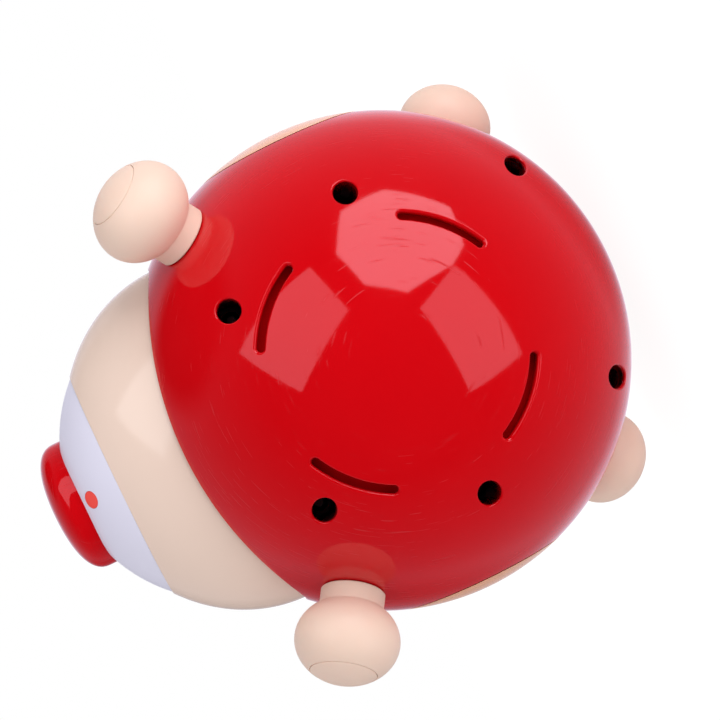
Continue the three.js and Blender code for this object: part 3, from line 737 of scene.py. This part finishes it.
def body_posts(side, sizes):
    """Screw posts of one half and, at the rear, the troughs behind the slots, all ending in the wall."""
    inside = sizes.body_radius - sizes.shell_wall / 2
    tube = sizes.recess_radius + RECESS_TUBE_WALL if side > 0 else FRONT_POST_RADIUS
    posts = []
    for place in screw_places():
        reach = sqrt(inside ** 2 - (place.length + tube) ** 2)
        posts.append(moved(bar(tube, 0, reach), to_side(side) @ Matrix.Translation(place) @ TO_Y))
    if side > 0:
        width = sizes.slot_width + 2 * SLOT_TROUGH_WALL
        floor = sizes.body_radius - (SLOT_DEPTH + SLOT_TROUGH_WALL)
        posts.extend(slot_tool(slot_outline(angle, width), floor) for angle in SLOT_ANGLES)
    trimmed = make_piece("posts", together(posts))
    combine(trimmed, turned(arc(inside, inside, 0, -90, 90, BALL_ARC_STEPS), RIM_STEPS), "INTERSECT")
    return taken(trimmed)


def body_cuts(side, sizes):
    """Openings of one half: limb holes, side cap seats, screw holes and, at the rear, the slots."""
    cuts = [limb_hole(direction, sizes) for _, direction in LIMBS.values()]
    opening = SIDE_CAP_PLUG_RADIUS + SEAT_GAP
    land = side_plane(sizes) - SEAT_GAP
    step = side_plane(sizes) - SIDE_CAP_PLUG_LENGTH - SEAT_GAP
    seat = [(0, step), (opening, step), (opening, land), (FAR, land), (FAR, FAR), (0, FAR)]
    cuts.extend(moved(turned(seat, RIM_STEPS), turned_to((end, 0, 0))) for end in (1, -1))
    hole = [(0, -SCREW_HOLE_DEPTH), (SCREW_HOLE_RADIUS, -SCREW_HOLE_DEPTH)]
    mouth = SCREW_HOLE_RADIUS
    if side > 0:
        mouth = sizes.recess_radius
        hole += [(SCREW_HOLE_RADIUS, RECESS_SEAT), (mouth, RECESS_SEAT)]
    hole += [(mouth, FAR), (0, FAR)]
    for place in screw_places():
        cuts.append(moved(turned(hole, SMALL_STEPS), Matrix.Translation(place) @ TO_Y))
    if side > 0:
        floor = sizes.body_radius - SLOT_DEPTH
        cuts.extend(slot_tool(slot_outline(angle, sizes.slot_width), floor) for angle in SLOT_ANGLES)
    return together(cuts)


def body_rims(side, sizes):
    """Rounding of one half's edges: side cap lands, neck and, at the rear, the slots and recesses."""
    radius = sizes.body_radius
    land = side_plane(sizes) - SEAT_GAP
    rims = [edge_tool(land_rim(end, land, radius), sizes.seam_chamfer) for end in (1, -1)]
    rims.append(edge_tool(neck_rim(radius), sizes.rim_rounding))
    if side > 0:
        for angle in SLOT_ANGLES:
            outline = slot_outline(angle, sizes.slot_width)
            rims.append(edge_tool(slot_rim(outline, radius), sizes.slot_rounding))
        for place in screw_places():
            rims.append(edge_tool(recess_rim(place, sizes), sizes.rim_rounding))
    return together(rims)


def body_half(name, side, sizes):
    """One half of the ball body with its posts, openings and rounded rims."""
    wall = half_ball(sizes.body_radius, sizes.shell_wall, sizes.seam_chamfer)
    piece = make_piece(name, moved(wall, to_side(side)))
    combine(piece, body_posts(side, sizes), "UNION")
    combine(piece, body_cuts(side, sizes), "DIFFERENCE")
    combine(piece, below(-ball_middle().z), "DIFFERENCE")
    room = make_piece("head_room", flat_ball(HEAD, NECK_GAP))
    combine(room, below(DECK_UNDERSIDE), "DIFFERENCE")
    combine(piece, taken(room), "DIFFERENCE")
    combine(piece, body_rims(side, sizes), "DIFFERENCE")
    return piece


class TUMBLER_OT_body(bpy.types.Operator):
    """Makes the two red halves of the ball body"""

    bl_idname = "tumbler.body"
    bl_label = "Body halves"

    def execute(self, context):
        sizes = context.scene.tumbler_sizes
        for name, side in (("rear_shell", 1), ("front_shell", -1)):
            piece = body_half(f"body_{name}", side, sizes)
            smooth = on_ball(sizes.body_radius, sizes.body_radius - SLOT_DEPTH)
            finish_piece(piece, "body", "red_abs_polished", [name], smooth)
        return {"FINISHED"}


class TUMBLER_OT_side_caps(bpy.types.Operator):
    """Makes the ochre round caps on the sides of the body"""

    bl_idname = "tumbler.side_caps"
    bl_label = "Side caps"

    def execute(self, context):
        sizes = context.scene.tumbler_sizes
        plane = side_plane(sizes)
        radius = sizes.body_radius
        edge = degrees(acos(SIDE_CAP_EDGE_RADIUS / radius))
        dome = arc(radius, radius, 0, edge + SIDE_CAP_EDGE_LIFT, 90, CAP_ARC_STEPS)
        plug = SIDE_CAP_PLUG_RADIUS
        base = plane - SIDE_CAP_PLUG_LENGTH
        chamfer = sizes.seam_chamfer
        profile = [
            (0, base), (plug - chamfer, base), (plug, base + chamfer), (plug, plane),
            (SIDE_CAP_EDGE_RADIUS - chamfer, plane), *dome]
        for name, side in (("side_cap_left", 1), ("side_cap_right", -1)):
            shape = moved(turned(profile, RIM_STEPS), turned_to((side, 0, 0)))
            piece = make_piece(f"ochre_{name}", shape)
            finish_piece(piece, "body", "ochre_abs_polished", [name], on_ball(radius))
        return {"FINISHED"}


def hat_turn():
    """From the cap's own upright frame to the tilted place on the head."""
    return Matrix.Translation((0, 0, HEAD.height)) @ Matrix.Rotation(-radians(HAT_TILT), 4, "X")


def hat_rim(form, height, side):
    """Edge of the head (1) or the cap (-1) at the plane between them."""
    turn = hat_turn()
    away = (turn.to_3x3() @ UP) * side
    rim = []
    for step in range(2 * RIM_STEPS):
        angle = pi * step / RIM_STEPS

        def path(reach):
            return turn @ Vector((reach * cos(angle), reach * sin(angle), height))

        point = crossing(form, path, 0, FAR / 2)
        rim.append((point, flat_normal(form, point), away))
    return rim


def above_hat_plane(height):
    """Block above the plane where the cap meets the head."""
    return moved(block((-FAR, -FAR, height), (FAR, FAR, FAR)), hat_turn())


class TUMBLER_OT_head(bpy.types.Operator):
    """Makes the two cream halves of the head"""

    bl_idname = "tumbler.head"
    bl_label = "Head halves"

    def execute(self, context):
        sizes = context.scene.tumbler_sizes
        radius = HEAD.half_width
        chamfer = sizes.seam_chamfer
        wall = sizes.head_wall
        steps = BALL_ARC_STEPS // 2
        outer = arc(radius, HEAD.crown, HEAD_BAND, 0, 90, steps)
        inner = arc(radius - wall, HEAD.crown - wall, HEAD_BAND, 90, 0, steps)
        profile = [(radius - chamfer, 0), (radius, chamfer), *outer, *inner, (radius - wall, 0)]
        for name, side in (("head_rear", 1), ("head_front", -1)):
            turn = to_side(side) @ flat_turn(HEAD)
            piece = make_piece(f"cream_{name}", moved(turned(profile, BALL_STEPS, closed=True), turn))
            combine(piece, below(HEAD_BOTTOM), "DIFFERENCE")
            combine(piece, above_hat_plane(HAT_EDGE_HEIGHT), "DIFFERENCE")
            rim = hat_rim(HEAD, HAT_EDGE_HEIGHT, 1)
            combine(piece, edge_tool(rim, sizes.hat_edge_rounding), "DIFFERENCE")
            finish_piece(piece, "body", "cream_abs_polished", [name], on_flat(HEAD))
        return {"FINISHED"}


class TUMBLER_OT_cap(bpy.types.Operator):
    """Makes the white cap on the head, whose lilac-grey tint is painted shade, with its knob and its stud"""

    bl_idname = "tumbler.cap"
    bl_label = "Cap, knob and stud"

    def execute(self, context):
        sizes = context.scene.tumbler_sizes
        edge = HAT_EDGE_HEIGHT + HAT_EDGE_GAP
        # Cap moulding in white, with painted shade in its lilac-grey colour
        piece = make_piece("white_hat_cap_painted_shade", flat_ball(HAT, 0.0))
        combine(piece, flat_ball(HAT, -sizes.head_wall), "DIFFERENCE")
        combine(piece, above_hat_plane(edge), "INTERSECT")
        combine(piece, edge_tool(hat_rim(HAT, edge, -1), sizes.hat_edge_rounding), "DIFFERENCE")
        combine(piece, self.stud_bar(sizes.stud_radius + STUD_GAP, -FAR / 4, FAR / 4), "DIFFERENCE")
        finish_piece(piece, "body", "white_abs_satin_painted_shade", ["hat_cap"], on_flat(HAT))
        stud = make_piece("red_hat_stud", self.stud_bar(sizes.stud_radius, -STUD_DEPTH, FAR / 4))
        combine(stud, flat_ball(HAT, 0.0), "INTERSECT")
        finish_piece(stud, "body", "orange_red_abs_satin", ["hat_stud"], on_flat(HAT))
        upright = Matrix.Translation((0, 0, HEAD.height)) @ Matrix.Scale(KNOB_FLATNESS, 4, (0, 1, 0))
        knob = make_piece("red_hat_knob", moved(turned(self.knob_profile(sizes), RIM_STEPS), upright))
        combine(knob, flat_ball(HAT, HAT_EDGE_GAP), "DIFFERENCE")
        finish_piece(knob, "body", "red_abs_polished", ["hat_knob"])
        return {"FINISHED"}

    def stud_bar(self, radius, low, high):
        """Round bar square to the cap, on the middle line at the back."""
        rise = sqrt(1 - (STUD_HEIGHT / HAT.half_height) ** 2)
        place = Vector((0, HEAD_BAND + HAT.crown * rise, HAT.height + STUD_HEIGHT))
        turn = Matrix.Translation(place) @ turned_to(flat_normal(HAT, place))
        return moved(bar(radius, low, high), turn)

    def knob_profile(self, sizes):
        """Half outline of the knob: a straight side under a low dome."""
        power = 2 / KNOB_FULLNESS
        foot = KNOB_TOP - KNOB_DOME
        quarter = arc(1, 1, 0, 0, 90, KNOB_ARC_STEPS)
        dome = [(sizes.knob_radius * out ** power, foot + KNOB_DOME * up ** power) for out, up in quarter]
        return [(0, HAT_EDGE_HEIGHT), (sizes.knob_radius, HAT_EDGE_HEIGHT), *dome]


class TUMBLER_OT_limbs(bpy.types.Operator):
    """Makes the four peach ball limbs and their end discs"""

    bl_idname = "tumbler.limbs"
    bl_label = "Limbs"

    def execute(self, context):
        sizes = context.scene.tumbler_sizes
        for name, (body, direction) in LIMBS.items():
            turn = turned_to(direction)
            limb = make_piece(f"peach_{name}", moved(turned(self.limb_profile(sizes), RIM_STEPS), turn))
            finish_piece(limb, body, "peach_vinyl_satin", [name])
            tip = make_piece(f"peach_{name}_tip", moved(turned(self.tip_profile(), RIM_STEPS), turn))
            finish_piece(tip, body, "peach_vinyl_satin", [f"{name}_tip"])
        return {"FINISHED"}

    def height_on_ball(self, radius):
        """Height of the limb's ball at a distance from its axis."""
        return LIMB_REACH + LIMB_BALL_HALF_LENGTH * sqrt(1 - (radius / LIMB_BALL_RADIUS) ** 2)

    def angle_on_ball(self, radius):
        """Angle from the ball's equator at a distance from its axis."""
        return degrees(acos(radius / LIMB_BALL_RADIUS))

    def limb_profile(self, sizes):
        """Half outline of a limb: stub with its groove, collar, ball and the seat of the end disc."""
        groove = LIMB_STUB_RADIUS - RETAINER_GROOVE_DEPTH
        groove_top = limb_seat(sizes)
        groove_bottom = groove_top - RETAINER_THICKNESS - 2 * SEAT_GAP
        seat = sizes.body_radius + SEAT_GAP
        tip_seat = LIMB_TIP_RADIUS + TIP_GAP
        floor = self.height_on_ball(LIMB_TIP_RADIUS + SEAT_GAP) - LIMB_TIP_DEPTH - SEAT_GAP
        start = -self.angle_on_ball(LIMB_COLLAR_RADIUS + COLLAR_FILLET_WIDTH)
        end = self.angle_on_ball(tip_seat + TIP_LINE_WIDTH)
        ball = arc(LIMB_BALL_RADIUS, LIMB_BALL_HALF_LENGTH, LIMB_REACH, start, end, LIMB_ARC_STEPS)
        collar_foot = sqrt(seat ** 2 - LIMB_COLLAR_RADIUS ** 2)
        collar_top = ball[0][1]
        fillet_out, fillet_drop = COLLAR_FILLET_MIDDLE
        return [
            (0, groove_bottom - LIMB_STUB_TAIL), (groove, groove_bottom - LIMB_STUB_TAIL),
            (LIMB_STUB_RADIUS, groove_bottom - LIMB_STUB_TAIL / 2), (LIMB_STUB_RADIUS, groove_bottom),
            (groove, groove_bottom), (groove, groove_top), (LIMB_STUB_RADIUS, groove_top),
            (LIMB_STUB_RADIUS, sqrt(seat ** 2 - LIMB_STUB_RADIUS ** 2)),
            (LIMB_COLLAR_RADIUS - COLLAR_EDGE, collar_foot), (LIMB_COLLAR_RADIUS, collar_foot + COLLAR_EDGE),
            (LIMB_COLLAR_RADIUS, collar_top - COLLAR_FILLET_HEIGHT),
            (LIMB_COLLAR_RADIUS + fillet_out, collar_top - fillet_drop),
            *ball, (tip_seat, ball[-1][1] - TIP_LINE_DEPTH), (tip_seat, floor), (0, floor)]

    def tip_profile(self):
        """Half outline of an end disc that follows the ball."""
        floor = self.height_on_ball(LIMB_TIP_RADIUS + SEAT_GAP) - LIMB_TIP_DEPTH
        start = self.angle_on_ball(LIMB_TIP_RADIUS - TIP_LINE_WIDTH)
        dome = arc(LIMB_BALL_RADIUS, LIMB_BALL_HALF_LENGTH, LIMB_REACH, start, 90, LIMB_ARC_STEPS // 2)
        return [(0, floor), (LIMB_TIP_RADIUS, floor), (LIMB_TIP_RADIUS, dome[0][1] - TIP_LINE_WIDTH), *dome]


def print_patch(outline, rings):
    """Thin printed patch on the front of the head, from an outline in x and z, in rings about its middle."""
    middle = sum((Vector(point) for point in outline), Vector((0, 0))) / len(outline)
    layers = []
    vertices = []

    def on_front(flat, height):
        def path(y):
            return Vector((flat.x, -y, flat.y))
        point = crossing(HEAD, path, 0, FAR / 2)
        return point + flat_normal(HEAD, point) * height

    for height in (PRINT_LIFT, -PRINT_DEPTH):
        rows = []
        for ring in range(rings):
            share = (rings - ring) / rings
            row = []
            for corner in outline:
                row.append(len(vertices))
                vertices.append(on_front(middle.lerp(Vector(corner), share), height))
            rows.append(row)
        top = len(vertices)
        vertices.append(on_front(middle, height))
        layers.append((rows, top))
    faces = []
    count = len(outline)
    for (rows, top), order in zip(layers, (1, -1)):
        for row, inner in zip(rows, rows[1:]):
            for corner in range(count):
                after = (corner + 1) % count
                faces.append((row[corner], row[after], inner[after], inner[corner])[::order])
        for corner in range(count):
            faces.append((rows[-1][corner], rows[-1][(corner + 1) % count], top)[::order])
    upper, lower = layers[0][0][0], layers[1][0][0]
    for corner in range(count):
        after = (corner + 1) % count
        faces.append((upper[after], upper[corner], lower[corner], lower[after]))
    return vertices, faces


def oval(side, x, z, half_width, half_height, count=40):
    """Outline in x and z of an oval on the left (1) or right (-1) of the face."""
    turns = [2 * pi * step / count for step in range(count)]
    return [(side * x + half_width * cos(turn), z + half_height * sin(turn)) for turn in turns]


class TUMBLER_OT_face(bpy.types.Operator):
    """Prints a plain doll's face on the front of the head"""

    bl_idname = "tumbler.face"
    bl_label = "Printed face"

    def execute(self, context):
        for name, side in (("left", 1), ("right", -1)):
            self.print_on(f"print_eye_{name}", oval(side, *EYE), "dark_pad_print")
            self.print_on(f"print_cheek_{name}", oval(side, *CHEEK), "pink_pad_print")
        left, right = MOUTH_ENDS
        mouth = []
        for arc_place, start, end in ((MOUTH_LOWER_ARC, left, right), (MOUTH_UPPER_ARC, right, left)):
            height, radius = arc_place
            for step in range(MOUTH_STEPS + 1):
                turn = radians(start + (end - start) * step / MOUTH_STEPS)
                mouth.append((radius * cos(turn), height + radius * sin(turn)))
        self.print_on("print_mouth", mouth, "red_pad_print", rings=2)
        return {"FINISHED"}

    def print_on(self, name, outline, finish, rings=6):
        """One patch of the face in its ink."""
        piece = make_piece(name, print_patch(outline, rings))
        finish_piece(piece, "body", finish, [])


class TUMBLER_OT_works(bpy.types.Operator):
    """Gives the chime, the ballast and the fasteners inside their finishes"""

    bl_idname = "tumbler.works"
    bl_label = "Works inside"

    def execute(self, context):
        finishes = {
            "grey_plastic": "grey_nylon_moulded", "steel": "steel_zinc_plated", "cast_iron": "iron_as_cast"}
        for part in frame["record"]["subparts"]:
            finish = finishes.get(part["material_slot"])
            if finish:
                node = frame["nodes"][part["node"]]
                node.data.materials.clear()
                node.data.materials.append(material(finish))
        return {"FINISHED"}


# Stage: the camera stands behind the toy and is rolled, as the toy lies on its side in the picture
CAMERA_DISTANCE = 560 * MM
CAMERA_RISE = 3.9
CAMERA_ROLL = -115.7
CAMERA_LENS = 99.4
CAMERA_SENSOR = 36
CAMERA_SHIFT = (-0.0294, 0.0005)
PICTURE_SIZE = 720
SOFT_BOX_DISTANCE = 0.9
# Brightness of each soft box and the corners of its mirror image on the ball, in pixels of the photograph
SOFT_BOXES = {
    "soft_box_round": (4.4, (
        (342, 216.5), (383, 195), (448, 212), (461, 249),
        (450, 268.6), (407, 295), (365.5, 288), (338, 258))),
    "soft_box_side": (1.9, ((312.4, 270.6), (350, 312.4), (305, 391), (244, 353))),
    "soft_box_low": (2.0, ((452, 268.6), (517, 354), (466.5, 391), (418.6, 310.4))),
}
# Brightness of the surroundings where they are mirrored, by how far a direction points to the camera
MIRRORED_DIM = {"From Min": -0.75, "From Max": 0.6, "To Min": 0.41, "To Max": 0.01}
MIRRORED_FAR = {"From Min": -1.0, "From Max": -0.75, "To Min": 0.5, "To Max": 0.0}
MIRRORED_TINT = (1.0, 1.0, 1.18, 1.0)
# Darker patches there: a direction in shares of the picture's right, its foot and the camera, how near to
# it a patch is darkest and where it ends, and what it leaves of the brightness
DARK_PATCHES = (
    ((0, 0.6, -0.8), 1.0, 0.85, 0.25),
    ((-0.97, -0.17, -0.17), 0.96, 0.87, 0.03),
    ((0.45, -0.4, -0.8), 1.0, 0.9, 0.35),
)
# Light that the surroundings give, brightest from this direction
FILL_SHARES = (0, 0.8, -0.6)
FILL_LEVEL = {"From Min": -0.5, "From Max": 0.8, "To Min": 0.38, "To Max": 1.12}
FLOOR_SIZE = 4.0
FLOOR_GLOW = 0.93
FLOOR_PAPER = (0xECECEC, 0xF1F1F1)
FLOOR_SEEN = 0x6C6C6C


class TUMBLER_OT_stage(bpy.types.Operator):
    """Sets up the camera, the soft boxes, the white surroundings and the floor"""

    bl_idname = "tumbler.stage"
    bl_label = "Stage"

    def execute(self, context):
        scene = context.scene
        middle = ball_middle()
        rise = radians(CAMERA_RISE)
        back = Vector((0, cos(rise), sin(rise)))
        right = Matrix.Rotation(radians(CAMERA_ROLL), 3, back) @ UP.cross(back).normalized()
        self.camera(scene, middle + back * CAMERA_DISTANCE, right, back)
        for name, (brightness, corners) in SOFT_BOXES.items():
            ways = [self.way_off_ball(scene, corner, right, back) for corner in corners]
            self.soft_box(scene, name, brightness, [middle + way * SOFT_BOX_DISTANCE for way in ways])
        self.surroundings(scene, back, right)
        self.floor(scene)
        scene.view_settings.view_transform = "Standard"
        return {"FINISHED"}

    def camera(self, scene, place, right, back):
        """Camera at the photograph's viewing angle."""
        data = bpy.data.cameras.new("camera")
        data.lens = CAMERA_LENS
        data.sensor_width = CAMERA_SENSOR
        data.shift_x, data.shift_y = CAMERA_SHIFT
        data.clip_start = 0.01
        camera = bpy.data.objects.new("camera", data)
        turn = Matrix((right, back.cross(right), back)).transposed()
        camera.matrix_world = Matrix.Translation(place) @ turn.to_4x4()
        scene.collection.objects.link(camera)
        scene.camera = camera

    def way_off_ball(self, scene, pixel, right, back):
        """Direction in which a ray from the camera leaves the ball that it meets at a pixel."""
        x, y = pixel
        shift_x, shift_y = CAMERA_SHIFT
        view = CAMERA_SENSOR / CAMERA_LENS
        across = (x / PICTURE_SIZE - 0.5 + shift_x) * view
        upward = (0.5 - y / PICTURE_SIZE + shift_y) * view
        ray = (right * across + back.cross(right) * upward - back).normalized()
        camera = back * CAMERA_DISTANCE
        along = camera.dot(ray)
        reach = -along - sqrt(along ** 2 - camera.length_squared + scene.tumbler_sizes.body_radius ** 2)
        return ray.reflect((camera + ray * reach).normalized())

    def soft_box(self, scene, name, brightness, corners):
        """Evenly bright panel, seen only in what it lights and where it is mirrored."""
        mesh = bpy.data.meshes.new(name)
        mesh.from_pydata(corners, [], [tuple(range(len(corners)))])
        panel = bpy.data.objects.new(name, mesh)
        scene.collection.objects.link(panel)
        finish, tree = new_material(f"{name}_diffuser_cloth")
        glow = add_node(tree, "ShaderNodeEmission", {"Color": (1, 1, 1, 1), "Strength": brightness})
        add_node(tree, "ShaderNodeOutputMaterial", {"Surface": glow.outputs[0]})
        mesh.materials.append(finish)
        panel.visible_camera = False
        panel.visible_shadow = False

    def surroundings(self, scene, back, right):
        """White all round for the camera; mirrored, it is white far behind the toy, dim elsewhere and darker
        in three patches, and the light it gives comes mostly from the foot of the picture."""
        world = bpy.data.worlds.new("white_studio")
        world.use_nodes = True
        tree = world.node_tree
        tree.nodes.clear()
        down = right.cross(back)
        path = add_node(tree, "ShaderNodeLightPath").outputs
        direction = add_node(tree, "ShaderNodeTexCoord").outputs["Generated"]

        def axis(across, foot, near):
            return (right * across + down * foot + back * near).normalized()

        facing = add_node(tree, "ShaderNodeVectorMath", {
            0: direction, 1: back}, operation="DOT_PRODUCT").outputs["Value"]
        dim = add_node(tree, "ShaderNodeMapRange", {"Value": facing, **MIRRORED_DIM}).outputs[0]
        far = add_node(tree, "ShaderNodeMapRange", {"Value": facing, **MIRRORED_FAR}).outputs[0]
        mirrored = add_node(tree, "ShaderNodeMath", {0: dim, 1: far}, operation="ADD").outputs[0]
        for shares, darkest, edge, left_over in DARK_PATCHES:
            closeness = add_node(tree, "ShaderNodeVectorMath", {
                0: direction, 1: axis(*shares)}, operation="DOT_PRODUCT").outputs["Value"]
            shade = add_node(tree, "ShaderNodeMapRange", {
                "Value": closeness, "From Min": edge, "From Max": darkest,
                "To Min": 1.0, "To Max": left_over}, interpolation_type="SMOOTHSTEP").outputs[0]
            both = {0: mirrored, 1: shade}
            mirrored = add_node(tree, "ShaderNodeMath", both, operation="MULTIPLY").outputs[0]
        lower = add_node(tree, "ShaderNodeVectorMath", {
            0: direction, 1: axis(*FILL_SHARES)}, operation="DOT_PRODUCT").outputs["Value"]
        fill = add_node(tree, "ShaderNodeMapRange", {"Value": lower, **FILL_LEVEL}).outputs[0]
        unseen = add_node(tree, "ShaderNodeMix", {0: path["Is Glossy Ray"], 2: fill, 3: mirrored}).outputs[0]
        seen = add_node(tree, "ShaderNodeMath", {
            0: path["Is Camera Ray"], 1: path["Is Transmission Ray"]}, operation="MAXIMUM").outputs[0]
        level = add_node(tree, "ShaderNodeMix", {0: seen, 2: unseen, 3: 1.0}).outputs[0]
        tint = add_node(tree, "ShaderNodeMix", {
            0: path["Is Glossy Ray"], 6: (1, 1, 1, 1), 7: MIRRORED_TINT}, data_type="RGBA").outputs[2]
        background = add_node(tree, "ShaderNodeBackground", {"Color": tint, "Strength": level})
        add_node(tree, "ShaderNodeOutputWorld", {"Surface": background.outputs[0]})
        scene.world = world

    def floor(self, scene):
        """Pale floor that reads white and keeps the toy's soft shadow; low soft boxes shine through it."""
        half = FLOOR_SIZE / 2
        mesh = bpy.data.meshes.new("floor")
        corners = [(-half, -half, 0), (half, -half, 0), (half, half, 0), (-half, half, 0)]
        mesh.from_pydata(corners, [], [(0, 1, 2, 3)])
        floor = bpy.data.objects.new("floor", mesh)
        scene.collection.objects.link(floor)
        finish, tree = new_material("floor_white_paper")
        place = add_node(tree, "ShaderNodeTexCoord").outputs["Object"]
        fibre = add_node(tree, "ShaderNodeTexNoise", {"Vector": place, "Scale": per_metre(30)}).outputs[0]
        dull, pale = FLOOR_PAPER
        paper = add_node(tree, "ShaderNodeMix", {
            0: fibre, 6: (*linear(dull), 1), 7: (*linear(pale), 1)}, data_type="RGBA").outputs[2]
        seen = add_node(tree, "ShaderNodeLightPath").outputs["Is Camera Ray"]
        glow = add_node(tree, "ShaderNodeMath", {0: seen, 1: FLOOR_GLOW}, operation="MULTIPLY").outputs[0]
        tint = add_node(tree, "ShaderNodeMix", {
            0: seen, 6: paper, 7: (*linear(FLOOR_SEEN), 1)}, data_type="RGBA").outputs[2]
        shader = add_node(tree, "ShaderNodeBsdfPrincipled", {
            "Base Color": tint, "Roughness": 0.9, "Specular IOR Level": 0.0,
            "Emission Color": (1, 1, 1, 1), "Emission Strength": glow})
        add_node(tree, "ShaderNodeOutputMaterial", {"Surface": shader.outputs[0]})
        mesh.materials.append(finish)
        floor.visible_shadow = False
        floor.visible_glossy = False


PIECES = (
    TUMBLER_OT_body, TUMBLER_OT_side_caps, TUMBLER_OT_head, TUMBLER_OT_face, TUMBLER_OT_cap,
    TUMBLER_OT_limbs, TUMBLER_OT_works, TUMBLER_OT_stage)


class TUMBLER_PT_sidebar(bpy.types.Panel):
    """Lists the toy's pieces, sizes and colours"""

    bl_idname = "TUMBLER_PT_sidebar"
    bl_label = "Tumbler toy"
    bl_space_type = "VIEW_3D"
    bl_region_type = "UI"
    bl_category = "Tumbler toy"

    def draw(self, context):
        for group in (context.scene.tumbler_sizes, context.scene.tumbler_colours):
            box = self.layout.box()
            for name in group.__annotations__:
                box.prop(group, name)
        for operator in PIECES:
            self.layout.operator(operator.bl_idname)


CLASSES = (TumblerSizes, TumblerColours, *PIECES, TUMBLER_PT_sidebar)


def register():
    for item in CLASSES:
        bpy.utils.register_class(item)
    bpy.types.Scene.tumbler_sizes = PointerProperty(type=TumblerSizes)
    bpy.types.Scene.tumbler_colours = PointerProperty(type=TumblerColours)


def unregister():
    del bpy.types.Scene.tumbler_colours
    del bpy.types.Scene.tumbler_sizes
    for item in reversed(CLASSES):
        bpy.utils.unregister_class(item)


def main():
    register()
    bpy.ops.tumbler.body()
    bpy.ops.tumbler.side_caps()
    bpy.ops.tumbler.head()
    bpy.ops.tumbler.face()
    bpy.ops.tumbler.cap()
    bpy.ops.tumbler.limbs()
    bpy.ops.tumbler.works()
    bpy.ops.tumbler.stage()


if __name__ == "__main__":
    main()
